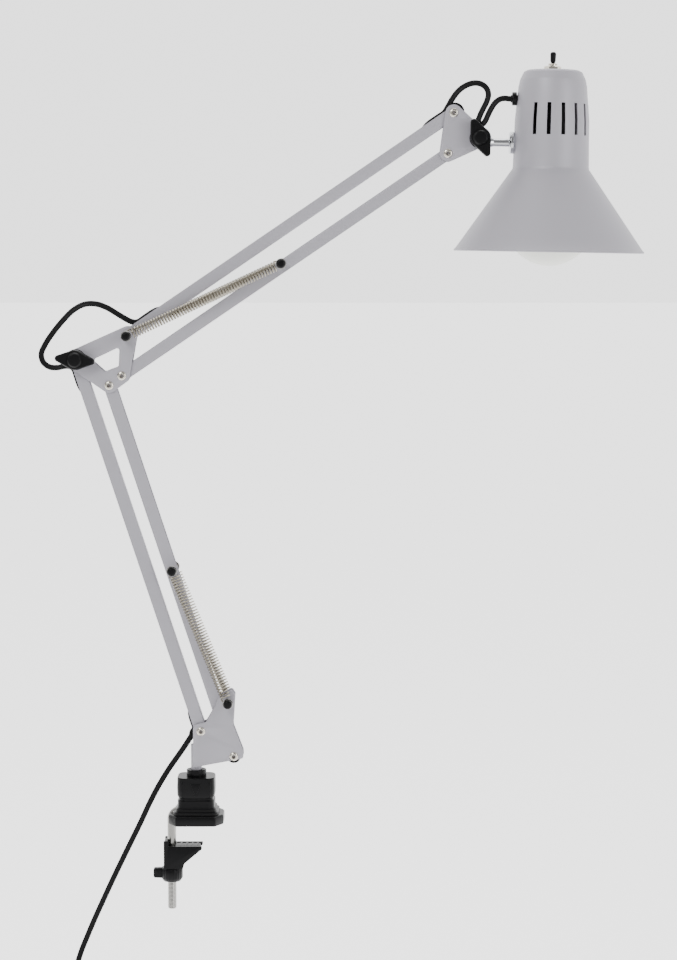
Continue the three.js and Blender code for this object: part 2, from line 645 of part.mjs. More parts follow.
function switchNut() {
  const hexagon = turned(rodProfile(7.6, SHADE_TOP + GAP, SHADE_TOP + 3.8), 6, 'z', [SWITCH_X, 0, 0]);
  return hexagon.subtract(turned(rodProfile(4 + GAP, 50, 80), 20, 'z', [SWITCH_X, 0, 0]));
}

function switchLever() {
  const profile = [
    [0, -5], [1.4, -5], [1.4, 5], [1.7, 9], [2.5, 11], [2.7, 17.4], [1.8, 18.8], [0, 18.8]];
  const geometry = new THREE.LatheGeometry(profile.map(([r, h]) => new THREE.Vector2(r, h)), 14);
  geometry.rotateX(Math.PI / 2 + 8 * DEG);
  geometry.translate(SWITCH_X, 0, LEVER_PIVOT_Z);
  return solid(geometry);
}

function head() {
  const group = frameAt(STEM_ORIGIN, -HEAD_TILT);
  add(group, 'head_stem', headStem(), CHROME);
  add(group, 'shade', shade(), PAINT);
  add(group, 'stem_flange', turned(ringProfile(STEM_R + GAP, 10, 27.6, 31.8), 24, 'x'), CHROME);
  const gland = turned([
    [0, 28.4], [3.4, 28.4], [3.4, 29.4], [6, 29.6], [6, 33.6], [3.4, 33.8], [3.4, 39], [0, 39]],
    20, 'x', [0, 0, GLAND_Z]);
  add(group, 'cable_gland', gland, BLACK);
  add(group, 'lamp_holder', lampHolder(), BAKELITE);
  add(group, 'bulb', bulb(), BULB_GLASS);
  add(group, 'switch_body', switchBody(), NYLON);
  add(group, 'switch_nut', switchNut(), NICKEL);
  add(group, 'switch_lever', switchLever(), BLACK);
  return group;
}

// ---------- mains lead ----------
const HANK_X = -121;
const HANK_TOP = -150;
const TAIL_Y = 10.8; // the plug hangs below the hank's last turn

function mainsCord() {
  return flatCable([
    [-4.6, 79.4], [-6.6, 76.4], [-10.4, 70.4], [-17, 60.8], [-25.2, 49], [-34.4, 33.8],
    [-43, 17.4], [-50.6, 1], [-59.6, -17.4], [-69, -36.6], [-78, -55.4], [-86.4, -73.6],
    [-94.4, -91.2], [-101.6, -108.2, -0.6], [-107, -121.6, -2.4], [-110.6, -134, -5.4],
    [-111.8, -144, -8.4], [-111.9, HANK_TOP + GAP, -9.9]], CABLE_HALF_THICK, CABLE_HALF_WIDTH, 36);
}

function cordHank() {
  const reach = HANK_TURN_R + CABLE_HALF_WIDTH;
  const low = HANK_TOP - 2 * reach - HANK_RUN;
  const outline = outlineAround([
    { at: [HANK_X, HANK_TOP - reach], r: reach }, { at: [HANK_X, low + reach], r: reach }]);
  const depth = HANK_TURNS * CORD_PITCH / 2;
  return prism(outline, -depth, depth);
}

function plug() {
  const top = HANK_TOP - 2 * (HANK_TURN_R + CABLE_HALF_WIDTH) - HANK_RUN - GAP;
  const body = upright(roundedPolygon([
    [-12.8, -6.5, 6], [12.8, -6.5, 6], [12.8, 6.5, 6], [-12.8, 6.5, 6]]), -36, -8);
  const taper = turned([[0, -10], [6.4, -10], [3.4, 0], [0, 0]], 16);
  let shape = body.add(taper);
  [-9.5, 9.5].forEach((x) => {
    shape = shape.add(turned([[0, -55], [1.2, -55], [2, -54], [2, -35], [0, -35]], 12, 'z', [x, 0, 0]));
  });
  return moved(shape, [HANK_X, TAIL_Y, top]);
}

function mainsLead() {
  const group = new THREE.Group();
  add(group, 'mains_cord', mainsCord(), RUBBER);
  add(group, 'cord_hank', cordHank(), RUBBER);
  add(group, 'plug', plug(), RUBBER);
  return group;
}

const lamp = new THREE.Group();
lamp.add(clamp(), swivelBase(), lowerArm(), elbow(), upperArm(), headBracket(), head(), mainsLead());

export default lamp;
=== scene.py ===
"""Looks of a clamp-mounted swing arm desk lamp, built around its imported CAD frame.

Sizes are in millimetres and places in the row frame: +X towards the lamp head, +Z up,
arms swinging in the plane Y = 0. Meshes are scaled to metres when they are made.
"""
import json
import math

import bmesh
import bpy
from mathutils import Matrix, Vector


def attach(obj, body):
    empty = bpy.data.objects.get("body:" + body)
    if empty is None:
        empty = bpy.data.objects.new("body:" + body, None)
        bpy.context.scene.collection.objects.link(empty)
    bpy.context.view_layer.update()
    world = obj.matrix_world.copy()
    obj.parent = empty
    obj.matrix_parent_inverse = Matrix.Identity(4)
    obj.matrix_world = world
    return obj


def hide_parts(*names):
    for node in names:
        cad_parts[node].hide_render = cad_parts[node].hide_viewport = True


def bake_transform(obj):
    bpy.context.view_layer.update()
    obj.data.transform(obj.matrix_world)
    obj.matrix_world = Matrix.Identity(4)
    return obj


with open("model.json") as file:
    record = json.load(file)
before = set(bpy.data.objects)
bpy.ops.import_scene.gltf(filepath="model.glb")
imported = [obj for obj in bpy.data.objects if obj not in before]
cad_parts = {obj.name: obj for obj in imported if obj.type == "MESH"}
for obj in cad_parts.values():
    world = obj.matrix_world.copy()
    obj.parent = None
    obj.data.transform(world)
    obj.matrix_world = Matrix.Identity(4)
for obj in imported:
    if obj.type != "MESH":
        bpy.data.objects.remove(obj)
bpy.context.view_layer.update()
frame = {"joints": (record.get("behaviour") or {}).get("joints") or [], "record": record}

MM = 0.001
Y_AXIS = Vector((0, 1, 0))
FRONT, BACK = -1, 1
SIDES = ((FRONT, "front"), (BACK, "back"))
CAMERA_LENS = 91.65
CAMERA_PLACE = (0.12984, -2.2, 0.52217)
CAMERA_PITCH = math.radians(90 - 5.4)


# ---------- camera ----------
def make_camera():
    data = bpy.data.cameras.new("camera")
    data.sensor_width = 36
    data.lens = CAMERA_LENS
    camera = bpy.data.objects.new("camera", data)
    camera.location = CAMERA_PLACE
    camera.rotation_euler = (CAMERA_PITCH, 0, 0)
    bpy.context.scene.collection.objects.link(camera)
    bpy.context.scene.camera = camera


make_camera()

# ---------- driving dimensions ----------
PIVOTS = {joint["name"]: Vector(joint["pos_m"]) / MM
          for joint in frame["joints"] if joint.get("pos_m")}
BASE_REAR = PIVOTS["lower_arm_tilt"]
BASE_FRONT = PIVOTS["lower_front_tilt"]
ELBOW = PIVOTS["elbow_level"]
ELBOW_TOP = PIVOTS["upper_arm_tilt"]
ELBOW_BOTTOM = PIVOTS["upper_bottom_tilt"]
HEAD_TOP = PIVOTS["head_level"]
HEAD = PIVOTS["head_tilt"]
LOWER_OFFSET = BASE_FRONT - BASE_REAR
UPPER_OFFSET = ELBOW_BOTTOM - ELBOW_TOP
LOWER_LENGTH = (ELBOW - BASE_REAR).length
UPPER_LENGTH = (HEAD_TOP - ELBOW_TOP).length
LOWER_ANGLE = math.atan2(ELBOW.z - BASE_REAR.z, ELBOW.x - BASE_REAR.x)
UPPER_ANGLE = math.atan2(HEAD_TOP.z - ELBOW_TOP.z, HEAD_TOP.x - ELBOW_TOP.x)
HEAD_TILT = math.radians(1)


def polar(length, angle):
    return Vector((length * math.cos(angle), 0, length * math.sin(angle)))


def on_bar(pivot, angle, along, over):
    """Point at a distance along a bar and over its centreline."""
    return pivot + polar(along, angle) + polar(over, angle + math.pi / 2)


BASE_SPRING = BASE_FRONT + Vector((-4.8, 0, 50.4))
LOWER_SPRING = on_bar(BASE_FRONT, LOWER_ANGLE, 180, -1.3)
UPPER_SPRING = on_bar(ELBOW_BOTTOM, UPPER_ANGLE, 175, 2.5)
ELBOW_LEFT = ELBOW + LOWER_OFFSET
HEAD_BOTTOM = HEAD_TOP + UPPER_OFFSET

GAP = 0.3  # between neighbouring pieces
HOLE_GAP = 0.2  # on the radius of a pivot hole
BAR_HALF = 5.5  # half height in the swing plane
BAR_SIDE = 5.0  # half width along Y
BAR_WALL = 1.0
PLATE_IN = 5.6
PLATE_OUT = 7.1
PIVOT_R = 2.5
PIN_R = 2.2
PIN_REACH = 21.0
SPRING_Y = 13.5
SPRING_R = 5.0
WIRE_R = 0.68
SPRING_PITCH = 2.7
WASHER_OUT = PLATE_OUT + 1.8
DISC_IN, DISC_OUT = 5.05, 5.55  # thin discs between the bars and the plates, |Y|
DISC_R = 9.4

CORD_WIDE = 2.6  # half width of the flat twin-core lead, in the swing plane
CORD_THICK = 1.6
CORD_OFFSET = 4.9
CORD_SUNK = 0.2

ROD_X = -22.9
ROD_R = 4.0
ROD_TOP = 10.6
ROD_BEND = 8.0
JAW_TOP = -21.0
POST_R = 3.6

STEM_R = 3.65
SHADE_X = 65.6
SHADE_WALL = 0.9
SHADE_TOP = 64.6
SLOT_Z = 20.8
SLOT_TURN = math.radians(-9.5)
SWITCH_X = SHADE_X - 0.5
GLAND_Z = 39.0
BULB_R = 40.0
BULB_Z = -69.0

HANK_X = -121.0
HANK_TOP = -150.0
HANK_R = 15.8
HANK_RUN = 78.0
HANK_TURNS = 5
HANK_PITCH = 5.4
TAIL_Y = 10.8


# ---------- materials ----------
def socket_values(node, values):
    for name, value in values.items():
        node.inputs[name].default_value = value


def blank_material(name):
    made = bpy.data.materials.new(name)
    made.use_nodes = True
    tree = made.node_tree
    return made, tree.nodes, tree.links, tree.nodes["Principled BSDF"]


def map_range(nodes, low, high, start=0.0, end=1.0):
    """Node that maps values from start..end onto low..high."""
    spread = nodes.new("ShaderNodeMapRange")
    socket_values(spread, {"From Min": start, "From Max": end, "To Min": low, "To Max": high})
    return spread


def material(name, colour, roughness, metallic=0.0, grain=900, uneven=0.06, relief=0.02, **extra):
    """Principled finish whose roughness and surface vary with fine procedural noise."""
    made, nodes, links, shader = blank_material(name)
    socket_values(shader, {"Base Color": (*colour, 1), "Metallic": metallic, **extra})
    place = nodes.new("ShaderNodeTexCoord")
    noise = nodes.new("ShaderNodeTexNoise")
    socket_values(noise, {"Scale": grain, "Detail": 3})
    links.new(place.outputs["Object"], noise.inputs["Vector"])
    spread = map_range(nodes, roughness - uneven, roughness + uneven)
    links.new(noise.outputs["Fac"], spread.inputs["Value"])
    links.new(spread.outputs["Result"], shader.inputs["Roughness"])
    bump = nodes.new("ShaderNodeBump")
    socket_values(bump, {"Strength": relief, "Distance": 0.0005})
    links.new(noise.outputs["Fac"], bump.inputs["Height"])
    links.new(bump.outputs["Normal"], shader.inputs["Normal"])
    return made


DIM = {"Specular IOR Level": 0.14}
LOOKS = {
    "grey_paint": material("satin silver paint", (0.37, 0.36, 0.395), 0.46, 0.2, 1400, 0.05,
                           0.08, **{"Specular IOR Level": 0.35}),
    "black_plastic": material("black moulded plastic", (0.004, 0.004, 0.0045), 0.30, 0, 700, 0.04,
                              0.01, **DIM),
    "nylon": material("dark nylon", (0.008, 0.008, 0.009), 0.42, 0, 900, 0.05, 0.02, **DIM),
    "zinc_steel": material("zinc plated steel", (0.33, 0.325, 0.31), 0.24, 1, 500, 0.06, 0.03),
    "nickel": material("nickel plate", (0.70, 0.66, 0.58), 0.20, 1, 600, 0.05, 0.02),
    "spring_steel": material("spring wire", (0.30, 0.275, 0.225), 0.26, 1, 600, 0.05, 0.02),
    "cable_black": material("black lead", (0.005, 0.005, 0.0055), 0.38, 0, 500, 0.05, 0.02, **DIM),
    "chrome": material("chrome plate", (0.62, 0.63, 0.65), 0.10, 1, 300, 0.02, 0.005),
    "holder": material("black bakelite", (0.008, 0.008, 0.009), 0.35, 0, 300, 0.04, 0.01, **DIM),
    "frosted_glass": material("frosted glass", (0.78, 0.79, 0.73), 0.34, 0, 900, 0.04, 0.02),
}


# ---------- shapes: (points, faces) in millimetres ----------
def merged(*shapes):
    points, faces = [], []
    for shape_points, shape_faces in shapes:
        first = len(points)
        points += shape_points
        faces += [[first + i for i in face] for face in shape_faces]
    return points, faces


def placed(shape, matrix):
    return [matrix @ Vector(point) for point in shape[0]], shape[1]


def at_point(point, angle=0.0):
    """Frame at a point, its X axis turned up from +X by the angle."""
    return Matrix.Translation(point) @ Matrix.Rotation(-angle, 4, "Y")


def axis_frame(point, axis):
    """Frame at a point, its Z axis along the given axis."""
    turn = Vector((0, 0, 1)).rotation_difference(Vector(axis))
    return Matrix.Translation(point) @ turn.to_matrix().to_4x4()


def mirrored_y(shape):
    return [Vector((p[0], -p[1], p[2])) for p in shape[0]], [face[::-1] for face in shape[1]]


def on_side(shape, side):
    """A shape made for the back of the lamp, put on the given side."""
    return shape if side == BACK else mirrored_y(shape)


def y_span(side, near, far):
    """Low and high Y of a layer that lies between two distances on one side."""
    return sorted((side * near, side * far))


def ring_faces(rings, closed=False):
    """Quads between rings of point numbers; a ring of one point is a pole."""
    faces = []
    pairs = list(zip(rings, rings[1:]))
    if closed:
        pairs.append((rings[-1], rings[0]))
    for low, high in pairs:
        for k in range(max(len(low), len(high))):
            quad = [low[k % len(low)], low[(k + 1) % len(low)],
                    high[(k + 1) % len(high)], high[k % len(high)]]
            face = list(dict.fromkeys(quad))
            if len(face) > 2:
                faces.append(face)
    return faces


def lathe(profile, sides=48, closed=False):
    """A profile of (radius, height) turned about the local Z axis."""
    points, rings = [], []
    for radius, height in profile:
        count = 1 if radius < 1e-6 else sides
        rings.append(list(range(len(points), len(points) + count)))
        points += [Vector((radius * math.cos(2 * math.pi * k / sides),
                           radius * math.sin(2 * math.pi * k / sides), height))
                   for k in range(count)]
    return points, ring_faces(rings, closed)


def rounded(corners, radius=0.0, steps=4, closed=False):
    """A 2D outline with its corners rounded; a corner (x, y, r) has its own radius."""
    result = []
    count = len(corners)
    for i, corner in enumerate(corners):
        here = Vector(corner[:2])
        own = corner[2] if len(corner) > 2 else radius
        if own <= 0 or (not closed and i in (0, count - 1)):
            result.append(tuple(here))
            continue
        before = Vector(corners[i - 1][:2]) - here
        after = Vector(corners[(i + 1) % count][:2]) - here
        half = before.angle(after) / 2
        reach = min(own / max(math.tan(half), 1e-3), before.length * 0.48, after.length * 0.48)
        start = here + before.normalized() * reach
        end = here + after.normalized() * reach
        for k in range(steps + 1):
            t = k / steps
            result.append(tuple(start * (1 - t) ** 2 + here * 2 * t * (1 - t) + end * t * t))
    return result


def rectangle(half_x, half_y, corner, steps):
    """Outline of a centred rectangle with rounded corners."""
    return rounded([(-half_x, -half_y), (half_x, -half_y), (half_x, half_y), (-half_x, half_y)],
                   corner, steps, closed=True)


def hexagon(radius):
    return [(radius * math.cos(math.pi / 3 * k), radius * math.sin(math.pi / 3 * k))
            for k in range(6)]


def loft(sections):
    """A closed skin over sections of equal point counts, capped at both ends."""
    count = len(sections[0])
    points = [Vector(p) for section in sections for p in section]
    rings = [list(range(i * count, (i + 1) * count)) for i in range(len(sections))]
    faces = ring_faces(rings)
    faces.append(rings[0][::-1])
    faces.append(rings[-1])
    return points, faces


def extruded(outline, low, high, bevel=0.3):
    """A prism of a convex XY outline from Z low to high, with bevelled edges."""
    centre = Vector((sum(p[0] for p in outline), sum(p[1] for p in outline))) / len(outline)
    steps = 3

    def inset(amount):
        result = []
        for i, point in enumerate(outline):
            before = Vector(outline[i - 1]) - Vector(point)
            after = Vector(outline[(i + 1) % len(outline)]) - Vector(point)
            along = (after.normalized() - before.normalized())
            normal = Vector((-along.y, along.x)).normalized()
            if normal.dot(centre - Vector(point)) < 0:
                normal = -normal
            result.append(Vector(point) + normal * amount)
        return result

    sections = [[(p.x, p.y, low + bevel * (1 - math.cos(math.pi / 2 * k / steps)))
                 for p in inset(bevel * (1 - math.sin(math.pi / 2 * k / steps)))]
                for k in range(steps + 1)]
    upper = [[(x, y, low + high - z) for x, y, z in section] for section in reversed(sections)]
    return loft(sections + upper)


def block(low, high, radius=0.6):
    """A box between two corners, its upright edges rounded and its rims bevelled."""
    outline = rounded([(low[0], low[1]), (high[0], low[1]), (high[0], high[1]), (low[0], high[1])],
                      radius, closed=True)
    return extruded(outline, low[2], high[2], min(radius, 0.4))


def tangents(path):
    last = len(path) - 1
    return [(path[min(i + 1, last)] - path[max(i - 1, 0)]).normalized() for i in range(last + 1)]


def sweep(path, section, side=None):
    """A section swept along a path. The section's first axis keeps to side, and without it
    the frame is carried along the path."""
    path = [Vector(p) for p in path]
    points = []
    carried = side
    for place, tangent in zip(path, tangents(path)):
        if side is not None:
            carried = side
        elif carried is None:
            carried = tangent.orthogonal()
        first = (carried - tangent * carried.dot(tangent)).normalized()
        carried = first
        second = tangent.cross(first)
        points.append([place + first * a + second * b for a, b in section])
    return loft(points)


def circle(radius, sides):
    return [(radius * math.cos(2 * math.pi * k / sides), radius * math.sin(2 * math.pi * k / sides))
            for k in range(sides)]


def twin_core():
    """Section of a flat twin-core lead, wide along its second axis: two cores and a groove."""
    steps = 9
    shift = CORD_WIDE - CORD_THICK
    reach = math.acos(-shift / CORD_THICK)
    half = [(shift + CORD_THICK * math.cos(reach * (2 * k / steps - 1)),
             CORD_THICK * math.sin(reach * (2 * k / steps - 1))) for k in range(steps + 1)]
    section = half[:-1] + [(-a, -b) for a, b in half[:-1]]
    return [(b, a) for a, b in reversed(section)]


def smooth(points, steps=8):
    """Centripetal Catmull-Rom curve through given points."""
    points = [Vector(p) for p in points]
    points = [points[0] * 2 - points[1]] + points + [points[-1] * 2 - points[-2]]
    result = []
    for a, b, c, d in zip(points, points[1:], points[2:], points[3:]):
        ta = 0.0
        tb = ta + math.sqrt((b - a).length)
        tc = tb + math.sqrt((c - b).length)
        td = tc + math.sqrt((d - c).length)
        for k in range(steps):
            t = tb + (tc - tb) * k / steps
            ab = a.lerp(b, (t - ta) / (tb - ta))
            bc = b.lerp(c, (t - tb) / (tc - tb))
            cd = c.lerp(d, (t - tc) / (td - tc))
            abc = ab.lerp(bc, (t - ta) / (tc - ta))
            bcd = bc.lerp(cd, (t - tb) / (td - tb))
            result.append(abc.lerp(bcd, (t - tb) / (tc - tb)))
    result.append(points[-2])
    return result


def in_plane(route):
    """Row-frame points of a route given as (x, z) or (x, z, y)."""
    return [Vector((p[0], p[2] if len(p) > 2 else 0, p[1])) for p in route]


def around(circles, step=math.radians(9)):
    """Outline around circles (x, z, r) listed counter-clockwise."""
    count = len(circles)
    leave = []
    for i, (x, z, r) in enumerate(circles):
        nx, nz, nr = circles[(i + 1) % count]
        dx, dz = nx - x, nz - z
        leave.append(math.atan2(dz, dx) - math.acos((r - nr) / math.hypot(dx, dz)))
    outline = []
    for i, (x, z, r) in enumerate(circles):
        turn = (leave[i] - leave[i - 1]) % (2 * math.pi)
        steps = max(1, math.ceil(turn / step))
        outline += [(x + r * math.cos(leave[i - 1] + turn * k / steps),
                     z + r * math.sin(leave[i - 1] + turn * k / steps)) for k in range(steps + 1)]
    return outline


def pivot_hole(point, pin_r):
    """Outline of a round hole with clearance round a pin."""
    sides = 28
    r = pin_r + HOLE_GAP
    return [(point.x + r * math.cos(2 * math.pi * k / sides),
             point.z - r * math.sin(2 * math.pi * k / sides)) for k in range(sides)]


def sheet(outlines, near, far, bevel=0.28):
    """Cut sheet metal: an XZ outline with holes, between two Y values, edges softened."""
    curve = bpy.data.curves.new("sheet", "CURVE")
    curve.dimensions = "2D"
    curve.fill_mode = "BOTH"
    curve.extrude = ((far - near) / 2 - bevel) * MM
    curve.bevel_depth = bevel * MM
    curve.bevel_resolution = 2
    curve.offset = -bevel * MM
    for outline in outlines:
        spline = curve.splines.new("POLY")
        spline.points.add(len(outline) - 1)
        for point, (x, z) in zip(spline.points, outline):
            point.co = (x * MM, z * MM, 0, 1)
        spline.use_cyclic_u = True
    holder = bpy.data.objects.new("sheet", curve)
    bpy.context.scene.collection.objects.link(holder)
    graph = bpy.context.evaluated_depsgraph_get()
    mesh = bpy.data.meshes.new_from_object(holder.evaluated_get(graph))
    middle = (near + far) / 2
    points = [Vector((v.co.x / MM, middle - v.co.z / MM, v.co.y / MM)) for v in mesh.vertices]
    faces = [list(p.vertices) for p in mesh.polygons]
    bpy.data.objects.remove(holder)
    bpy.data.curves.remove(curve)
    bpy.data.meshes.remove(mesh)
    return points, faces


# ---------- pieces ----------
BODY_OF = {node: body for body, nodes in frame["record"]["behaviour"]["bodies"].items()
           for node in nodes}


def make_object(name, shape, look, sharp=32):
    mesh = bpy.data.meshes.new(name)
    mesh.from_pydata([Vector(p) * MM for p in shape[0]], [], shape[1])
    build = bmesh.new()
    build.from_mesh(mesh)
    bmesh.ops.remove_doubles(build, verts=build.verts, dist=2e-6)
    bmesh.ops.recalc_face_normals(build, faces=build.faces)
    build.to_mesh(mesh)
    build.free()
    mesh.materials.append(LOOKS[look])
    mesh.polygons.foreach_set("use_smooth", [True] * len(mesh.polygons))
    mesh.set_sharp_from_angle(angle=math.radians(sharp))
    made = bpy.data.objects.new(name, mesh)
    bpy.context.scene.collection.objects.link(made)
    return made


def piece(name, shape, look, nodes=(), body=None, sharp=32):
    """A rigid piece of the lamp that rides on a body and stands for CAD nodes."""
    made = make_object(name, shape, look, sharp)
    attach(made, body or BODY_OF[nodes[0]])
    if nodes:
        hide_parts(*nodes)
    return made


def bending_piece(name, shape, look, nodes=()):
    """A piece baked into the row frame and attached to no body; it hides the CAD nodes it stands for.
    """
    made = make_object(name, shape, look)
    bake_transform(made)
    if nodes:
        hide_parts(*nodes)
    return made


# ---------- mains lead ----------
MAINS_ROUTE = [
    (-4.6, 79.4), (-6.6, 76.4), (-10.4, 70.4), (-17, 60.8), (-25.2, 49), (-34.4, 33.8),
    (-43, 17.4), (-50.6, 1), (-59.6, -17.4), (-69, -36.6), (-78, -55.4), (-86.4, -73.6),
    (-94.4, -91.2), (-101.6, -108.2, -0.6), (-107, -121.6, -2.4), (-110.6, -134, -5.4),
    (-111.8, -144, -8.4), (-111.9, HANK_TOP, -9.9)]


def hank_path():
    """Turns of the folded lead: down the near run, round the bottom, up and over the top."""
    top = HANK_TOP - HANK_R - CORD_WIDE
    low = top - HANK_RUN
    lap = 2 * HANK_RUN + 2 * math.pi * HANK_R
    step = 3.0
    start_y = -HANK_PITCH * (HANK_TURNS - 1) / 2
    path = []
    travel = 0.0
    while travel < lap * (HANK_TURNS - 1) + HANK_RUN * 0.55:
        along = travel % lap
        if along < HANK_RUN:
            x, z = HANK_R, top - along
        elif along < HANK_RUN + math.pi * HANK_R:
            turn = (along - HANK_RUN) / HANK_R
            x, z = HANK_R * math.cos(turn), low - HANK_R * math.sin(turn)
        elif along < 2 * HANK_RUN + math.pi * HANK_R:
            x, z = -HANK_R, low + (along - HANK_RUN - math.pi * HANK_R)
        else:
            turn = (along - 2 * HANK_RUN - math.pi * HANK_R) / HANK_R
            x, z = -HANK_R * math.cos(turn), top + HANK_R * math.sin(turn)
        path.append(Vector((HANK_X + x, start_y + HANK_PITCH * travel / lap, z)))
        travel += step
    return path


def mains_lead():
    run_in = in_plane(MAINS_ROUTE)
    turns = hank_path()
    bottom = HANK_TOP - 2 * (HANK_R + CORD_WIDE) - HANK_RUN
    tail = [Vector((HANK_X + HANK_R - 5.5, TAIL_Y + 1.6, bottom + 24)),
            Vector((HANK_X + 2.5, TAIL_Y + 1.2, bottom + 9)),
            Vector((HANK_X, TAIL_Y, bottom - 2))]
    path = smooth(run_in, 6) + smooth([run_in[-1]] + turns[2:] + tail, 2)[1:]
    path = [p for i, p in enumerate(path) if i == 0 or (p - path[i - 1]).length > 0.05]
    cord = piece("mains_lead", sweep(path, twin_core(), side=Y_AXIS), "cable_black",
                 ["mains_cord", "cord_hank"])
    length = sum((b - a).length for a, b in zip(path, path[1:])) * MM
    return cord, [tuple(p * MM) for p in path], length


def plug_body():
    """Flat two-pin plug with a tapered grip and a ribbed strain relief."""
    top = HANK_TOP - 2 * (HANK_R + CORD_WIDE) - HANK_RUN - GAP
    sections = []
    for z, half_x, half_y in [(0, 3.2, 2.6), (-3, 3.8, 3.2), (-7, 4.8, 4.2), (-9, 6.8, 5.2),
                              (-12, 9.6, 6.0), (-16, 11.6, 6.4), (-22, 12.5, 6.5),
                              (-33, 12.8, 6.5), (-35.4, 12.6, 6.3), (-36, 11.9, 5.7)]:
        corner = min(half_x, half_y) * 0.9
        outline = rectangle(half_x, half_y, corner, 5)
        sections.append([(x, y, z) for x, y in outline])
    ribs = [lathe(rounded([(2, z + 0.8), (4.4 - z * 0.16, z + 0.8), (4.4 - z * 0.16, z - 0.8),
                           (2, z - 0.8)], 0.3), 24) for z in (-2.2, -4.6, -7.0)]
    shape = merged(loft(sections), *ribs)
    body = placed(shape, Matrix.Translation((HANK_X, TAIL_Y, top)))
    made = piece("plug_body", body, "cable_black", ["plug"])
    pins = [placed(lathe(rounded([(0, -55), (2, -55, 0.9), (2, -34), (0, -34)], 0.3), 20),
                   Matrix.Translation((HANK_X + x, TAIL_Y, top))) for x in (-9.5, 9.5)]
    prongs = piece("plug_pins", merged(*pins), "nickel", body="turret")
    return made, prongs


def hank_tie():
    """Black band that holds the folded lead together."""
    middle = HANK_TOP - HANK_R - CORD_WIDE - HANK_RUN / 2
    reach = HANK_R + CORD_WIDE + 0.5
    depth = HANK_PITCH * HANK_TURNS / 2 + 0.4
    outline = rectangle(reach, depth, 3, 6)
    inner = [(x * (1 - 0.9 / reach), y * (1 - 0.9 / depth)) for x, y in outline]
    rings = [[(x, y, middle + z) for x, y in line]
             for line, z in ((inner, -4), (outline, -4), (outline, 4), (inner, 4))]
    count = len(outline)
    points = [Vector(p) for ring in rings for p in ring]
    numbers = [list(range(i * count, (i + 1) * count)) for i in range(4)]
    band = placed((points, ring_faces(numbers, closed=True)), Matrix.Translation((HANK_X, 0, 0)))
    return piece("hank_tie", band, "cable_black", body="turret")


def make_mains_lead():
    cord, path, length = mains_lead()
    plug, prongs = plug_body()
    hank_tie()


make_mains_lead()


# ---------- the lead inside the arms ----------
def channel_lead(name, node, pivot, angle, first, last):
    """The lead that lies in a bar's channel and rises over the pivots at both ends."""
    rise = 26
    route = [(first, CORD_OFFSET), (first + rise / 2, CORD_OFFSET - 0.4), (first + rise, CORD_SUNK),
             ((first + last) / 2, CORD_SUNK), (last - rise, CORD_SUNK),
             (last - rise / 2, CORD_OFFSET - 0.4), (last, CORD_OFFSET)]
    path = smooth(in_plane(route), 12)
    shape = placed(sweep(path, twin_core(), side=Y_AXIS), at_point(pivot, angle))
    piece(name, shape, "cable_black", [node])


def base_bridge():
    """Short bend of the lead from the bar's channel to the free cord."""
    start = on_bar(BASE_REAR, LOWER_ANGLE, 4, CORD_OFFSET)
    end = in_plane(MAINS_ROUTE)[0]
    after = in_plane(MAINS_ROUTE)[1]
    before = start + polar(3, LOWER_ANGLE)
    path = smooth([before, start, start.lerp(end, 0.5) + Vector((-0.7, 0, 0)), end, after], 6)
    shape = sweep(path[6:-6], twin_core(), side=Y_AXIS)
    bending_piece("base_lead_bridge", shape, "cable_black")


ELBOW_ROUTE = [
    (-107.9, 413.5), (-109.9, 416), (-113, 417.1), (-117.6, 417), (-123.4, 415.8),
    (-130.6, 416.6), (-136, 421), (-137.6, 428), (-134, 436.6), (-126.6, 447.6),
    (-117.3, 458.8), (-108.2, 467.6), (-98.5, 472.6), (-88, 473), (-78.4, 469.8),
    (-70.2, 465), (-63, 460.6), (-57.8, 457.8), (-53.4, 456.6), (-49.4, 457.5)]

HEAD_ROUTE = [
    (223.9, 643), (227.6, 648.8), (231.6, 655.8), (236.8, 662.4), (242.8, 666.8),
    (249.8, 669.2), (256.4, 668.6), (261.4, 665), (263.4, 659.4), (262, 653.2),
    (258.9, 646.8), (256, 640.6), (254.5, 635.2), (256.2, 633.4), (258.6, 633.3),
    (260.6, 635.6), (262.9, 640.5), (265.9, 646.6), (269.6, 652), (274.2, 655.2),
    (278.6, 655.8), (281.6, 655.4), (286, 655.4)]


def lead_span(path, cuts, spans, node):
    """Cuts a route at points nearest to the given places and makes an unattached lead piece of each
    span.
    """
    numbers = [0]
    for cut in cuts:
        place = Vector((cut[0], 0, cut[1]))
        nearest = min(range(numbers[-1] + 2, len(path)), key=lambda i: (path[i] - place).length)
        numbers.append(nearest)
    numbers.append(len(path) - 1)
    for i, (name, bodies, start, end) in enumerate(spans):
        run = path[numbers[i]:numbers[i + 1] + 1]
        shape = sweep(run, twin_core(), side=Y_AXIS)
        nodes = [node] if i == 0 else []
        bending_piece(name, shape, "cable_black",
                      nodes)


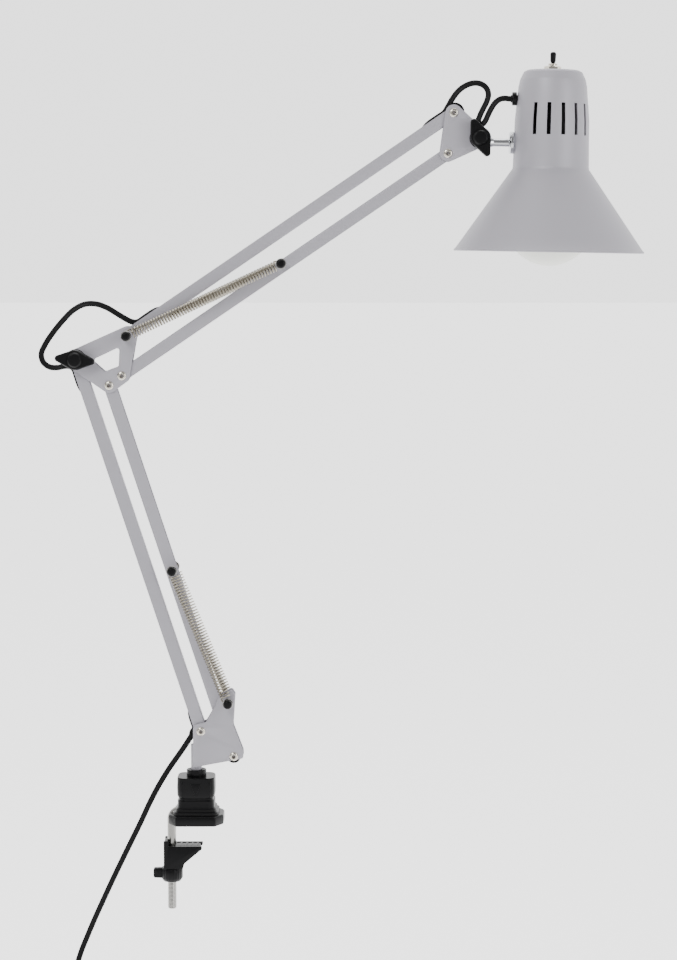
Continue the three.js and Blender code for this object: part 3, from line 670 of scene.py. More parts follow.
def arm_leads():
    channel_lead("lower_channel_lead", "lower_cable", BASE_REAR, LOWER_ANGLE, 4, LOWER_LENGTH - 12)
    channel_lead("upper_channel_lead", "upper_cable", ELBOW_TOP, UPPER_ANGLE, 20.3,
                 UPPER_LENGTH - 12)
    base_bridge()
    start = on_bar(BASE_REAR, LOWER_ANGLE, LOWER_LENGTH - 12, CORD_OFFSET)
    end = on_bar(ELBOW_TOP, UPPER_ANGLE, 20.3, CORD_OFFSET)
    path = smooth([start] + in_plane(ELBOW_ROUTE) + [end], 7)
    lead_span(path, [(-98.5, 472.6)], [
        ("elbow_lead_lower", ("lower_rear", "elbow"), (-108, 412), (-128, 440)),
        ("elbow_lead_upper", ("elbow", "upper_top"), (-98.5, 472.6), (-50, 457))], "elbow_cable")
    start = on_bar(ELBOW_TOP, UPPER_ANGLE, UPPER_LENGTH - 12, CORD_OFFSET)
    path = smooth([start] + in_plane(HEAD_ROUTE), 7)
    lead_span(path, [(249.8, 669.2), (254.5, 635.2)], [
        ("head_lead_arm", ("upper_top", "head_bracket"), (221, 641), (243, 667)),
        ("head_lead_drop", ("head_bracket", "stem"), (256, 668), (255, 637)),
        ("head_lead_rise", ("stem", "shade"), (256.5, 633), (281, 655.6))], "head_cable")


arm_leads()


# ---------- repeated fittings ----------
def across(point, shape):
    """A turned shape whose axis runs along Y through a pivot, its foot towards the back."""
    return placed(shape, axis_frame((point.x, 0, point.z), (0, 1, 0)))


def rivet(name, point):
    """Tubular rivet: a rolled head on each side round a dark bore."""
    end = PLATE_OUT + 1.3
    half = [(1.45, end - 0.55), (1.75, end - 0.12), (2.2, end), (2.8, end - 0.08), (3.5, end - 0.4),
            (3.95, end - 0.85), (4.0, end - 1.15), (3.8, end - 1.3), (PIVOT_R, end - 1.3)]
    bore = [(0, PLATE_OUT - 2.2), (1.4, PLATE_OUT - 2.2), (1.4, end - 0.9)]
    upper = bore + half
    profile = upper + [(r, -h) for r, h in reversed(upper)]
    piece(f"{name}_tubular", across(point, lathe(profile, 40)), "nickel", [name])


def pin_cap(name, point, side):
    """Domed black cap pressed over a washer on the end of a spring pin."""
    inner, outer = SPRING_Y + SPRING_R + 0.4, PIN_REACH + 2
    dome = rounded([(0, outer), (2.7, outer, 1.0), (4, outer - 1.3, 0.9), (4, inner + 0.7, 0.3),
                    (3.5, inner, 0.2), (PIN_R, inner), (PIN_R, inner + 0.6)], 0.2)
    shape = across(point, lathe(dome, 40))
    piece(f"{name}_domed", on_side(shape, side), "black_plastic", [name])


def hook_washer(name, point, side, body):
    """Thin bright washer between a spring's hook and the cap."""
    ring = lathe([(PIN_R, 17.0), (4.6, 17.0), (4.8, 17.2), (4.6, 17.5), (PIN_R, 17.5)], 40)
    shape = across(point, ring)
    piece(name, on_side(shape, side), "zinc_steel", body=body)


def spring_pin(name, point, body):
    profile = rounded([(0, PIN_REACH), (PIN_R, PIN_REACH, 0.3), (PIN_R, -PIN_REACH, 0.3),
                       (0, -PIN_REACH)], 0.3)
    piece(f"{name}_turned", across(point, lathe(profile, 32)), "zinc_steel", [name])
    for side, word in SIDES:
        pin_cap(f"{name}_cap_{word}", point, side)
        hook_washer(f"{name}_washer_{word}", point, side, body)


def spring_path(length):
    """Centreline of a tension spring along local X: hook, close coils, hook."""
    hook_r, lead_in = PIN_R + WIRE_R + 0.25, 5.2
    coil_r = SPRING_R - WIRE_R
    hook = [Vector((hook_r * math.cos(a), 0, hook_r * math.sin(a)))
            for a in (math.radians(-70 - 20 * k) for k in range(12))]
    coil_length = length - 2 * lead_in
    turns = round(coil_length / SPRING_PITCH)
    per_turn = 14
    coil = []
    for k in range(turns * per_turn + 1):
        turn = 2 * math.pi * k / per_turn
        coil.append(Vector((lead_in + coil_length * k / (turns * per_turn),
                            coil_r * math.sin(turn), coil_r * math.cos(turn))))
    far = [Vector((length - p.x, -p.y, p.z)) for p in reversed(hook)]
    rise = [Vector((2.9, -0.2, 3.5)), Vector((4.4, -0.6, 4.2))]
    fall = [Vector((length - p.x, -p.y, p.z)) for p in reversed(rise)]
    return hook + rise + coil + fall + far


def springs(name, start, end):
    reach = end - start
    angle = math.atan2(reach.z, reach.x)
    shape = sweep(spring_path(reach.length), circle(WIRE_R, 6))
    for side, word in SIDES:
        foot = Vector((start.x, side * SPRING_Y, start.z))
        bending_piece(f"{name}_spring_{word}_coil", placed(shape, at_point(foot, angle)),
                      "spring_steel", [f"{name}_spring_{word}"])


def channel_bar(name, pivot, angle, length, opening):
    """Folded U-channel with round ends; opening is 1 or -1, the side of its open edge."""
    fold = 1.6
    inner_fold = 0.7
    sections = []
    stations = []
    ends = [math.radians(a) for a in (6, 14, 24, 36, 50, 66, 82)]
    for a in ends:
        stations.append((-1 - BAR_HALF * math.cos(a), BAR_HALF * math.sin(a)))
    stations += [(-1 + (length + 2) * k / 12, BAR_HALF) for k in range(13)]
    for a in reversed(ends):
        stations.append((length + 1 + BAR_HALF * math.cos(a), BAR_HALF * math.sin(a)))
    for along, half in stations:
        wall = min(BAR_WALL, half * 0.6)
        outer = rounded([(-BAR_SIDE, half), (-BAR_SIDE, -half, min(fold, half * 0.6)),
                         (BAR_SIDE, -half, min(fold, half * 0.6)), (BAR_SIDE, half)], 0, 5)
        inside = BAR_SIDE - BAR_WALL
        inner = rounded([(inside, half), (inside, wall - half, min(inner_fold, half * 0.4)),
                         (-inside, wall - half, min(inner_fold, half * 0.4)), (-inside, half)],
                        0, 5)
        sections.append([(along, y, opening * z) for y, z in outer + inner])
    shape = placed(loft(sections), at_point(pivot, angle))
    piece(f"{name}_channel", shape, "grey_paint", [name], sharp=40)


def clamp_bolt(name, point):
    """Hexagonal head at the back with a chamfered crown, and its shank."""
    shank = lathe([(0, PLATE_OUT + 1), (PIVOT_R, PLATE_OUT + 1), (PIVOT_R, -17), (0, -17)], 32)
    low, high = PLATE_OUT + GAP, PLATE_OUT + 4.5
    sections = [[(x * s, y * s, z) for x, y in hexagon(5)]
                for s, z in ((1, low), (1, high - 0.6), (0.86, high))]
    piece(f"{name}_hex", across(point, merged(shank, loft(sections))), "zinc_steel", [name])


def friction_disc(name, point, radius, near, far, nodes=(), body=None, bore=PIVOT_R + 0.1):
    profile = rounded([(bore, near), (radius, near, 0.25), (radius, far, 0.25), (bore, far)],
                      0.2, closed=True)
    piece(name, across(point, lathe(profile, 56, closed=True)), "black_plastic", nodes, body)


def wing_nut(name, point, angle):
    """Moulded knob: a domed hub with two tapering wings."""
    back, front = -WASHER_OUT - GAP, -WASHER_OUT - 12
    hub_profile = rounded([(0, front), (5.4, front, 1.2), (7.4, front + 2.6, 1),
                           (7.4, back - 0.6, 0.5), (6.8, back, 0.3), (0, back)], 0.4)
    hub = across(point, lathe(hub_profile, 56))
    tip = 14.8
    sections = []
    outline = around([(-tip, 0, 3), (0, 0, 9), (tip, 0, 3), (0, 0, 9)])
    for depth, inset in ((back - 2, 1.0), (back - 2.4, 0.35), (back - 3.2, 0), (front + 3.8, 0),
                         (front + 2.8, 0.4), (front + 2.2, 1.2)):
        sections.append([(x * (1 - inset / tip), depth, z * (1 - inset / 9)) for x, z in outline])
    wings = placed(loft(sections), at_point(Vector((point.x, 0, point.z)), angle))
    piece(f"{name}_moulded", merged(hub, wings), "black_plastic", [name])


# ---------- clamp ----------
def box_section(half_x, half_y, corner, z):
    return [(x, y, z) for x, y in rectangle(half_x, half_y, corner, 6)]


def clamp_base():
    """Moulded base: octagonal foot, stepped shoulders, bulged block, notch and collar."""
    foot = [(-25, -11), (-18, -22), (18, -22), (25, -11), (25, 11), (18, 22), (-18, 22), (-25, 11)]
    foot = rounded(foot, 1.6, 3, closed=True)
    flange = loft([[(x * s, y * s, z) for x, y in foot]
                   for s, z in ((0.955, 0), (0.985, 0.35), (1, 1.2), (1, 7.2), (0.985, 8.4),
                                (0.955, 9))])
    steps = [(20.5, 18.5, 8.6), (20.5, 18.5, 11.2), (19.9, 17.9, 12), (18.6, 16.6, 12.2),
             (18.5, 16.5, 14.2), (17.9, 15.9, 15), (17.1, 15.1, 15.2), (16.9, 14.9, 18.5),
             (16.9, 14.9, 21.6), (16.2, 14.2, 22.3), (15.9, 13.9, 22.8), (15.9, 13.9, 23.8),
             (16.4, 14.4, 24.4), (17.2, 15.1, 27), (17.4, 15.3, 33), (17.2, 15.1, 39),
             (17.1, 15.0, 42.2), (16.6, 14.5, 43)]
    shoulders = loft([box_section(x, y, 8, z) for x, y, z in steps])
    collar = lathe(rounded([(0, 42), (9, 42), (9, 49, 0.7), (7.25, 49, 0.4), (7.25, 45.5),
                            (0, 45.5)], 0.3), 64)
    ribs = []
    for x in (-12.6, 12.6):
        for side in (FRONT, BACK):
            low = (x - 0.7, side * 14.2 - 0.9, 25)
            high = (x + 0.7, side * 14.2 + 0.9, 40)
            ribs.append(block(low, high, 0.4))
    boss = []
    for side in (FRONT, BACK):
        tapered = [(4.6, 38), (0.6, 27), (-0.6, 27), (-4.6, 38)]
        near, far = y_span(side, 13.9, 15.75)
        outline = rounded(tapered, 0.5, closed=True)
        boss.append(placed(extruded(outline, near, far, 0.35),
                           Matrix(((1, 0, 0, 0), (0, 0, 1, 0), (0, 1, 0, 0), (0, 0, 0, 1)))))
    shape = merged(flange, shoulders, collar, *ribs, *boss)
    piece("clamp_base_moulded", shape, "black_plastic", ["clamp_base"], sharp=30)


def thread(radius, depth, pitch, low, high, sides=24):
    """Skin of a threaded rod: rings shifted round a helix, ridge by ridge."""
    per_pitch = 4
    rows = int((high - low) / pitch * per_pitch)
    points, rings = [], []
    for i in range(rows + 1):
        z = low + (high - low) * i / rows
        ring = []
        for k in range(sides):
            phase = (z - low) / pitch - k / sides
            ridge = abs(2 * (phase % 1) - 1)
            r = radius - depth * ridge
            turn = 2 * math.pi * k / sides
            ring.append(len(points))
            points.append(Vector((r * math.cos(turn), r * math.sin(turn), z)))
        rings.append(ring)
    return points, ring_faces(rings) + [rings[0][::-1], rings[-1]]


ON_ROD = Matrix.Translation((ROD_X, 0, 0))


def clamp_rod():
    """Bent bright rod: level in the base, hooked over its edge, threaded below the jaw."""
    bend_steps = 10
    path = [Vector((-8, 0, ROD_TOP))]
    for k in range(bend_steps + 1):
        turn = math.pi / 2 * k / bend_steps
        path.append(Vector((ROD_X + ROD_BEND - ROD_BEND * math.sin(turn), 0,
                            ROD_TOP - ROD_BEND + ROD_BEND * math.cos(turn))))
    path.append(Vector((ROD_X, 0, -34)))
    plain = sweep(path, circle(ROD_R, 32), side=Y_AXIS)
    threaded = placed(thread(ROD_R, 0.25, 1.25, -80, -34), ON_ROD)
    tip = placed(lathe([(0, -81), (3.0, -81), (3.7, -80.2), (3.7, -79.5), (0, -79.5)], 32),
                 ON_ROD)
    piece("clamp_rod_bent", merged(plain, threaded, tip), "zinc_steel", ["clamp_rod"])


def clamp_jaw():
    """Wedge jaw with a guard lip, side webs and a ribbed contact face."""
    outline = rounded([(-29.8, JAW_TOP + 5, 0.8), (-25.4, JAW_TOP + 5, 0.8), (-25.4, JAW_TOP, 0.4),
                       (5, JAW_TOP, 0.6), (5, JAW_TOP - 2.5, 0.8), (-11, JAW_TOP - 16, 1.5),
                       (-12.4, JAW_TOP - 21, 0.8), (-29.8, JAW_TOP - 21, 0.8)], 0.5, 3, closed=True)
    plates = [sheet([outline], y - 1.6, y + 1.6, 0.5) for y in (-9.4, 9.4)]
    core_outline = rounded([(-29.3, JAW_TOP + 4.5), (-25.9, JAW_TOP + 4.5), (-25.9, JAW_TOP - 0.4),
                            (3.4, JAW_TOP - 0.4), (3.4, JAW_TOP - 2.2), (-12.2, JAW_TOP - 15.6),
                            (-13.4, JAW_TOP - 20.4), (-29.3, JAW_TOP - 20.4)], 0.5, 3, closed=True)
    core = sheet([core_outline], -8.4, 8.4, 0.3)
    pads = [block((x, -8.2, JAW_TOP - 0.6), (x + 1.4, 8.2, JAW_TOP - 0.02), 0.15)
            for x in (-20, -15, -10, -5, 0)]
    collar = placed(lathe(rounded([(ROD_R + GAP, JAW_TOP - 21), (6.2, JAW_TOP - 21, 0.3),
                                   (6.2, JAW_TOP - 18), (ROD_R + GAP, JAW_TOP - 18)], 0.2), 40),
                    ON_ROD)
    piece("clamp_jaw_moulded", merged(core, *plates, *pads, collar), "black_plastic",
          ["clamp_jaw"], sharp=30)


def clamp_nut():
    """Knurled thumb nut with one long wing."""
    top, low = JAW_TOP - 21.3, JAW_TOP - 34
    sides = 96
    sections = []
    for z, r in ((low, 7.6), (low + 0.5, 8.2), (low + 2.6, 9.5), (low + 3.2, 9.9), (top - 0.8, 9.9),
                 (top - 0.2, 9.5), (top, 9.0)):
        ring = []
        for k in range(sides):
            turn = 2 * math.pi * k / sides
            flute = 0.35 * (1 - abs(math.cos(turn * 12))) if 3 < z - low + 0.9 else 0.0
            ring.append((ROD_X + (r - flute) * math.cos(turn), (r - flute) * math.sin(turn), z))
        sections.append(ring)
    hub = loft(sections)
    outline = rounded([(ROD_X - 17, low + 3, 2), (ROD_X - 7.5, low + 2.6), (ROD_X - 7.5, top - 0.4),
                       (ROD_X - 17, top - 0.8, 2)], 0, 5, closed=True)
    wing = sheet([outline], -3.4, 3.4, 1.2)
    piece("clamp_nut_moulded", merged(hub, wing), "black_plastic", ["clamp_nut"], sharp=40)


def clamp():
    clamp_base()
    clamp_rod()
    clamp_jaw()
    clamp_nut()
    bush = lathe(rounded([(POST_R + GAP, 20.3), (7.2, 20.3), (7.2, 49, 0.4), (5.5, 49, 0.2),
                          (5.5, 44), (POST_R + GAP, 44)], 0.2, closed=True), 48, closed=True)
    piece("post_bush_moulded", bush, "nylon", ["post_bush"])


# ---------- swivel base ----------
def base_bracket():
    """Two cut plates joined by the folded tube that turns on the post."""
    front = BASE_FRONT
    rear = BASE_REAR
    outline = rounded([
        (-2.6, 51.6, 0), (front.x + 8.9, 60, 3), (front.x + 8.6, 66.5, 3),
        (front.x - 0.4, 90, 6), (front.x + 1.4, 118.5, 2), (front.x - 1.6, 123.6, 3), (21, 117, 5),
        (16, 105, 4), (rear.x + 4.6, rear.z + 8.4, 3), (-2.6, rear.z + 6, 5)], 0, 6, closed=True)
    holes = [pivot_hole(rear, PIVOT_R), pivot_hole(front, PIVOT_R), pivot_hole(BASE_SPRING, PIN_R)]
    plates = [sheet([outline] + holes, *y_span(side, PLATE_IN, PLATE_OUT))
              for side in (FRONT, BACK)]
    tube = lathe(rounded([(3.95, 45), (5, 45, 0.3), (5, 72, 0.3), (3.95, 72)], 0.1, closed=True),
                 48, closed=True)
    webs = [block((1.2, y0, 53.4), (6.3, y1, 70.4), 0.4)
            for y0, y1 in ((-6.03, -4.41), (4.41, 6.03))]
    piece("base_bracket_folded", merged(*plates, tube, *webs), "grey_paint", ["base_bracket"],
          sharp=30)


def base_stud(side, word):
    profile = rounded([(0, PLATE_IN + 0.1), (PIN_R, PLATE_IN + 0.1), (PIN_R, PLATE_OUT + GAP),
                       (3.2, PLATE_OUT + GAP, 0.1), (3.2, PLATE_OUT + 1.1, 0.3),
                       (PIN_R, PLATE_OUT + 1.1), (PIN_R, PIN_REACH, 0.3), (0, PIN_REACH)], 0.05)
    shape = across(BASE_SPRING, lathe(profile, 32))
    piece(f"base_stud_{word}_turned", on_side(shape, side), "zinc_steel",
          [f"base_stud_{word}"])
    pin_cap(f"base_stud_cap_{word}", BASE_SPRING, side)
    hook_washer(f"base_stud_washer_{word}", BASE_SPRING, side, "turret")


def swivel_base():
    post = lathe(rounded([(0, 20.6), (POST_R, 20.6, 0.4), (POST_R, 73, 0.8), (0, 73)], 0.4), 40)
    piece("swivel_post_turned", post, "zinc_steel", ["swivel_post"])
    base_bracket()
    rivet("base_rear_rivet", BASE_REAR)
    rivet("base_front_rivet", BASE_FRONT)
    base_stud(FRONT, "front")
    base_stud(BACK, "back")
    for side, word in SIDES:
        near, far = y_span(side, DISC_IN, DISC_OUT)
        friction_disc(f"base_disc_{word}", BASE_FRONT, 6.3, near, far, body="turret")


# ---------- arms and elbow ----------
def arms():
    channel_bar("lower_rear_bar", BASE_REAR, LOWER_ANGLE, LOWER_LENGTH, 1)
    channel_bar("lower_front_bar", BASE_FRONT, LOWER_ANGLE, LOWER_LENGTH, -1)
    channel_bar("upper_top_bar", ELBOW_TOP, UPPER_ANGLE, UPPER_LENGTH, 1)
    channel_bar("upper_bottom_bar", ELBOW_BOTTOM, UPPER_ANGLE, UPPER_LENGTH, -1)
    spring_pin("lower_spring_pin", LOWER_SPRING, "lower_front")
    spring_pin("upper_spring_pin", UPPER_SPRING, "upper_bottom")
    springs("lower", BASE_SPRING, LOWER_SPRING)
    springs("upper", ELBOW_TOP, UPPER_SPRING)


def elbow():
    a, b, c, d = ELBOW, ELBOW_LEFT, ELBOW_TOP, ELBOW_BOTTOM
    outline = around([(a.x, a.z, 9), (b.x, b.z, 6.8), (d.x, d.z, 7), (c.x, c.z, 8.5)])
    window = around([(a.x + x, a.z + z, 2) for x, z in
                     ((17.9, -1.2), (26.2, -8.6), (36.6, -4.6), (37.2, 8))])
    holes = [window[::-1]] + [pivot_hole(p, PIVOT_R) for p in (a, b, d)] + [pivot_hole(c, PIN_R)]
    for side, word in SIDES:
        plate = sheet([outline] + holes, *y_span(side, PLATE_IN, PLATE_OUT))
        piece(f"elbow_plate_{word}_cut", plate, "grey_paint", [f"elbow_plate_{word}"], sharp=30)
    clamp_bolt("elbow_bolt", ELBOW)
    friction_disc("elbow_washer_disc", ELBOW, DISC_R, -WASHER_OUT, -PLATE_OUT - GAP, ["elbow_washer"])
    wing_nut("elbow_wing_nut", ELBOW, math.radians(-5.7))
    rivet("elbow_left_rivet", ELBOW_LEFT)
    rivet("elbow_right_rivet", ELBOW_BOTTOM)
    spring_pin("elbow_spring_pin", ELBOW_TOP, "elbow")


# ---------- head ----------
def head_bracket():
    g, h, k = HEAD_TOP, HEAD_BOTTOM, HEAD
    outline = around([(g.x, g.z, 7.3), (h.x, h.z, 7.3), (k.x, k.z, 8)])
    holes = [pivot_hole(p, PIVOT_R) for p in (g, h, k)]
    for side, word in SIDES:
        plate = sheet([outline] + holes, *y_span(side, PLATE_IN, PLATE_OUT))
        piece(f"head_plate_{word}_cut", plate, "grey_paint", [f"head_plate_{word}"], sharp=30)
        near, far = y_span(side, DISC_IN, DISC_OUT)
        friction_disc(f"head_disc_{word}", HEAD_TOP + Vector((1.2, 0, 0.7)), 8.4, near, far,
                      body="head_bracket", bore=4.2)
    rivet("head_top_rivet", HEAD_TOP)
    rivet("head_bottom_rivet", HEAD_BOTTOM)
    clamp_bolt("head_bolt", HEAD)
    friction_disc("head_washer_disc", HEAD, DISC_R, -WASHER_OUT, -PLATE_OUT - GAP, ["head_washer"])
    wing_nut("head_wing_nut", HEAD, math.radians(-66.6))


EYE = Vector((1.4, 0, 3.5))  # head pivot in the stem's own frame
HEAD_FRAME = at_point(HEAD, -HEAD_TILT) @ Matrix.Translation(-EYE)
Z_TO_X = Matrix.Rotation(math.pi / 2, 4, "Y")  # turns a lathed shape to lie along the stem


def on_axis(x, y=0, z=0):
    """Place in the head's frame, whose X axis runs along the stem."""
    return HEAD_FRAME @ Matrix.Translation((x, y, z))


def head_stem():
    eye = placed(lathe(rounded([(0, -4.5), (10.4, -4.5, 1.2), (10.4, 4.5, 1.2), (0, 4.5)], 0.8), 64),
                 HEAD_FRAME @ Matrix.Translation(EYE) @ Matrix.Rotation(math.pi / 2, 4, "X"))
    rod = placed(lathe(rounded([(0, 5), (4.4, 8), (4.4, 11.5), (STEM_R, 14, 1.5), (STEM_R, 39, 0.5),
                                (0, 39)], 0.3), 48),
                 HEAD_FRAME @ Z_TO_X)
    piece("head_stem_turned", merged(eye, rod), "chrome", ["head_stem"])
    dish = lathe(rounded([(STEM_R + 0.05, 27.6), (8.6, 27.6, 0.5), (10, 28.8, 0.6), (10, 31.2, 0.5),
                          (8.6, 33.3, 0.2), (STEM_R + 0.05, 33.3)], 0.2, closed=True), 56, closed=True)
    piece("stem_flange_dished", placed(dish, HEAD_FRAME @ Z_TO_X),
          "chrome", ["stem_flange"])


def shade_profile():
    """Outer profile of the shade from its top hole to the rolled rim, and its slot rows."""
    crown = rounded([(5.8, SHADE_TOP), (22.9, SHADE_TOP, 3), (26, SHADE_TOP - 1.6, 2),
                     (27.8, SHADE_TOP - 5.4, 2), (29.2, SHADE_TOP - 8.4, 2), (30.5, 50)], 0, 5)
    slot_top, slot_low = SLOT_Z + 14, SLOT_Z - 14
    body = [(31.1, 43), (31.84, slot_top), (33.1, 20.5), (33.38, slot_low), (33.7, -10),
            (33.95, -20.8), (34.25, -22.8), (35.5, -24.6)]
    cone_start, cone_end = Vector(body[-1]), Vector((83.6, -93.8))
    cone = [tuple(cone_start.lerp(cone_end, k / 8)) for k in range(1, 9)]
    centre = (84.25, -95.65)
    bead = [(centre[0] + 0.95 * math.cos(a), centre[1] + 0.95 * math.sin(a))
            for a in (math.radians(60 - 30 * k) for k in range(9))]
    return crown + body, cone + bead, (slot_top, slot_low)


def shade():
    """Spun shade: thin double skin with real vent slots cut through the neck."""
    neck, cone, (slot_top, slot_low) = shade_profile()
    outer = neck + cone
    inner = [(r - SHADE_WALL, z - (SHADE_WALL if z > SHADE_TOP - 6 else 0))
             for r, z in neck + cone[:8]]
    inner[0] = (5.8, SHADE_TOP - SHADE_WALL)
    rings = outer + inner[::-1]
    half_slot = math.asin(1.8 / 33)
    pitch = math.radians(22.5)
    fill = [half_slot + (pitch - 2 * half_slot) * k / 5 for k in range(6)]
    turns, slot_columns = [], set()
    for k in range(16):
        start = (k - 5) * pitch + SLOT_TURN - half_slot
        if k <= 10:
            slot_columns.update((len(turns), len(turns) + 1))
        turns += [start, start + half_slot]
        turns += [start + half_slot + f for f in fill[:-1]]
    count = len(turns)
    points = []
    for r, z in rings:
        points += [Vector((SHADE_X + r * math.cos(t), r * math.sin(t), z)) for t in turns]
    total = len(rings)
    rows_outer = [i for i, (r, z) in enumerate(rings) if i < len(outer) and slot_low <= z <= slot_top]
    rows_inner = [total - 1 - i for i in rows_outer]
    open_rows = set(rows_outer[:-1]) | {i - 1 for i in rows_inner[:-1]}
    faces = []
    for i in range(total):
        j = (i + 1) % total
        for k in range(count):
            if i in open_rows and k in slot_columns:
                continue
            m = (k + 1) % count
            faces.append([i * count + k, i * count + m, j * count + m, j * count + k])
    for column in sorted(slot_columns):
        edges = [(column, rows_outer[0], rows_inner[0]), (column, rows_outer[-1], rows_inner[-1])]
        for k, out, inn in edges:
            m = (k + 1) % count
            faces.append([out * count + k, out * count + m, inn * count + m, inn * count + k])
    for column in range(0, count, 7):
        if column not in slot_columns:
            continue
        for k in (column, column + 2):
            for (o1, o2), (n1, n2) in zip(zip(rows_outer, rows_outer[1:]),
                                          zip(rows_inner, rows_inner[1:])):
                faces.append([o1 * count + k, o2 * count + k, n2 * count + k, n1 * count + k])
    piece("shade_spun", placed((points, faces), HEAD_FRAME), "grey_paint", ["shade"], sharp=34)


def lamp_holder():
    shell = rounded([(14.3, -8), (17.5, -8, 0.8), (17.5, 2, 0.2), (16.9, 2.6), (16.9, 4.4),
                     (17.5, 5), (17.5, 34, 1.5), (15.5, 38, 1), (0, 38)], 0.2)
    cup = [(0, 16), (14.2, 16), (14.2, -6), (14.3, -8)]
    body = lathe(cup + shell[1:], 56)
    legs = [block((-5, y0, 36), (5, y1, SHADE_TOP - 1.3), 0.5) for y0, y1 in ((-14.4, -13), (13, 14.4))]
    piece("lamp_holder_moulded", placed(merged(body, *legs), on_axis(SHADE_X)), "holder",
          ["lamp_holder"])


def bulb():
    """Frosted globe with a screw cap."""
    neck_angle = math.radians(64.85)
    steps = 40
    profile = [(0, BULB_Z - BULB_R)]
    for k in range(1, steps + 1):
        turn = -math.pi / 2 + (math.pi / 2 + neck_angle) * k / steps
        profile.append((BULB_R * math.cos(turn), BULB_Z + BULB_R * math.sin(turn)))
    profile += rounded([(15.9, -29.5), (14.6, -25, 4), (13, -19), (12.6, -18)], 2, 5)
    glass = placed(lathe(profile + [(0, -18)], 72), on_axis(SHADE_X))
    piece("bulb_glass", glass, "frosted_glass", ["bulb"], sharp=50)
    cap = merged(thread(13, 0.9, 3.6, -18.5, 6, 48),
                 lathe([(12.2, 6), (9, 9), (4.5, 11), (4.5, 12.6), (3.8, 13), (0, 13)], 40))
    piece("bulb_cap", placed(cap, on_axis(SHADE_X)), "nickel", body="shade")


def toggle_switch():
    can = block((-6.5, -6, 44), (6.5, 6, 58), 0.8)
    bush = lathe(rounded([(4, 57.5), (4, 70.5, 0.3), (3.0, 70.5, 0.2), (2.6, 58)], 0.1), 40)
    rings = [lathe([(3.9, z), (4.15, z + 0.25), (3.9, z + 0.5)], 40)
             for z in (68.8, 69.5)]
    piece("switch_body_moulded", placed(merged(can, bush, *rings), on_axis(SWITCH_X)), "nickel",
          ["switch_body"])
    low, high = SHADE_TOP + 0.3, SHADE_TOP + 3.8
    nut = loft([[(x * s, y * s, z) for x, y in hexagon(7.6)]
                for s, z in ((0.9, low), (1, low + 0.6), (1, high - 0.7), (0.88, high))])
    piece("switch_nut_hex", placed(nut, on_axis(SWITCH_X)), "nickel", ["switch_nut"])
    lever = rounded([(0, -4.9), (1.4, -4.9), (1.4, 5), (1.7, 9, 2), (2.5, 11, 2), (2.7, 17.4, 1.2),
                     (1.6, 18.8, 0.6), (0, 18.8)], 0.3, 5)
    lean = Matrix.Rotation(math.radians(8), 4, "X")
    piece("switch_lever_bat", placed(lathe(lever, 40), on_axis(SWITCH_X, 0, 62) @ lean),
          "black_plastic", ["switch_lever"])
    screw = lathe(rounded([(0, 66), (0.9, 66), (1.7, 65.5, 0.5), (1.8, 64.6), (0, 64.6)], 0.2), 28)
    piece("shade_screw", placed(screw, on_axis(SHADE_X + 12.3)), "nickel", body="shade")


def cable_gland():
    profile = rounded([(0, 28.4), (3.4, 28.4, 0.4), (3.4, 29.4, 0.1), (6, 29.6, 0.9), (6, 33.6, 0.4),
                       (3.4, 33.8, 0.1), (3.4, 39), (0, 39)], 0.2)
    shape = placed(lathe(profile, 40), on_axis(0, 0, GLAND_Z) @ Z_TO_X)
    piece("cable_gland_moulded", shape, "black_plastic", ["cable_gland"])


def head():
    head_bracket()
    head_stem()
    shade()
    lamp_holder()
    bulb()
    toggle_switch()
    cable_gland()


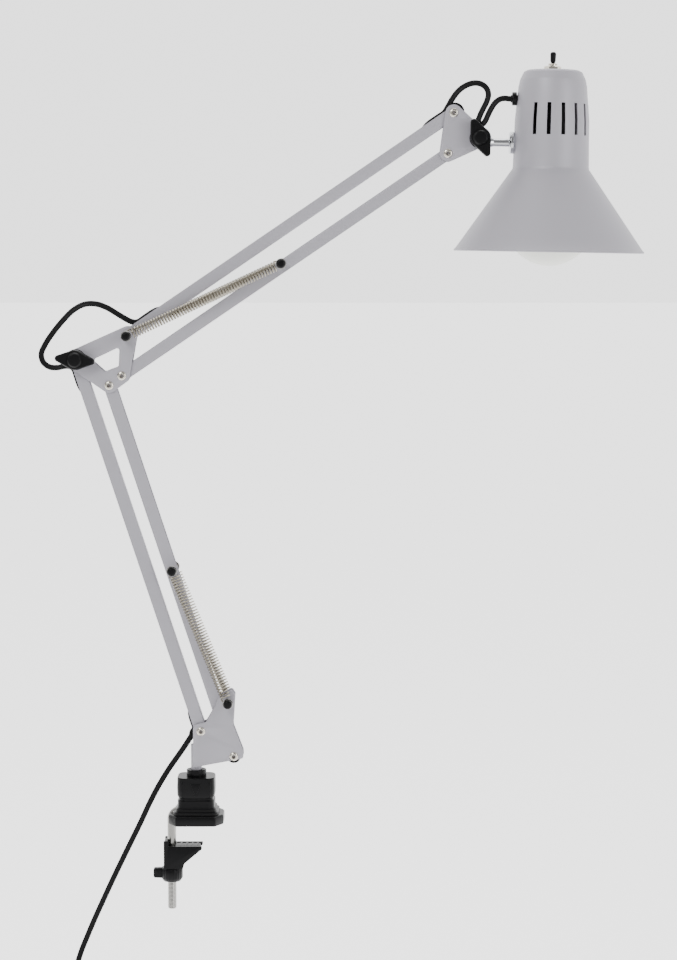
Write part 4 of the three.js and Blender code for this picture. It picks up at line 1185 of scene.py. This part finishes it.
# ---------- studio ----------
def paper():
    """White floor finish that glows beyond the lamp and is dimmer in front of it."""
    made, nodes, links, shader = blank_material("paper")
    socket_values(shader, {"Base Color": (0.93, 0.93, 0.93, 1), "Roughness": 0.9,
                           "Emission Color": (1, 1, 1, 1)})
    place = nodes.new("ShaderNodeTexCoord")
    parts = nodes.new("ShaderNodeSeparateXYZ")
    glow = map_range(nodes, 0.0, 1.45, -0.9, 0.2)
    links.new(place.outputs["Object"], parts.inputs["Vector"])
    links.new(parts.outputs["Y"], glow.inputs["Value"])
    links.new(glow.outputs["Result"], shader.inputs["Emission Strength"])
    return made


def floor():
    """Plain pale floor under the hanging lead, wide enough to meet the horizon."""
    half, height = 40, -0.4
    corners = [(x * half, y * half, height) for x, y in ((-1, -1), (1, -1), (1, 1), (-1, 1))]
    mesh = bpy.data.meshes.new("floor")
    mesh.from_pydata(corners, [], [(0, 1, 2, 3)])
    mesh.materials.append(paper())
    made = bpy.data.objects.new("floor", mesh)
    bpy.context.scene.collection.objects.link(made)


def area_light(name, place, target, size, power):
    data = bpy.data.lights.new(name, "AREA")
    data.shape = "RECTANGLE"
    data.size, data.size_y = size
    data.energy = power
    light = bpy.data.objects.new(name, data)
    light.location = place
    light.rotation_euler = (Vector(target) - Vector(place)).to_track_quat("-Z", "Y").to_euler()
    bpy.context.scene.collection.objects.link(light)


def room():
    """Soft surroundings, darker on the side the lamp faces so that metal keeps its contrast."""
    world = bpy.data.worlds.new("studio")
    world.use_nodes = True
    nodes = world.node_tree.nodes
    links = world.node_tree.links
    place = nodes.new("ShaderNodeTexCoord")
    parts = nodes.new("ShaderNodeSeparateXYZ")
    links.new(place.outputs["Generated"], parts.inputs["Vector"])
    spread = map_range(nodes, 0.3, 2.3, -0.6, 0.8)
    links.new(parts.outputs["Y"], spread.inputs["Value"])
    background = nodes["Background"]
    background.inputs["Color"].default_value = (1, 1, 1, 1)
    links.new(spread.outputs["Result"], background.inputs["Strength"])
    return world


def studio():
    floor()
    centre = (0.1, 0, 0.4)
    area_light("key", (-1.3, -2.6, 2.3), centre, (1.4, 1.4), 62)
    area_light("fill", (2.3, -2.2, 1.0), centre, (1.2, 1.8), 34)
    area_light("top", (0.2, 0.5, 2.6), centre, (1.6, 1.0), 20)
    bpy.context.scene.world = room()


clamp()
swivel_base()
arms()
elbow()
head()
studio()
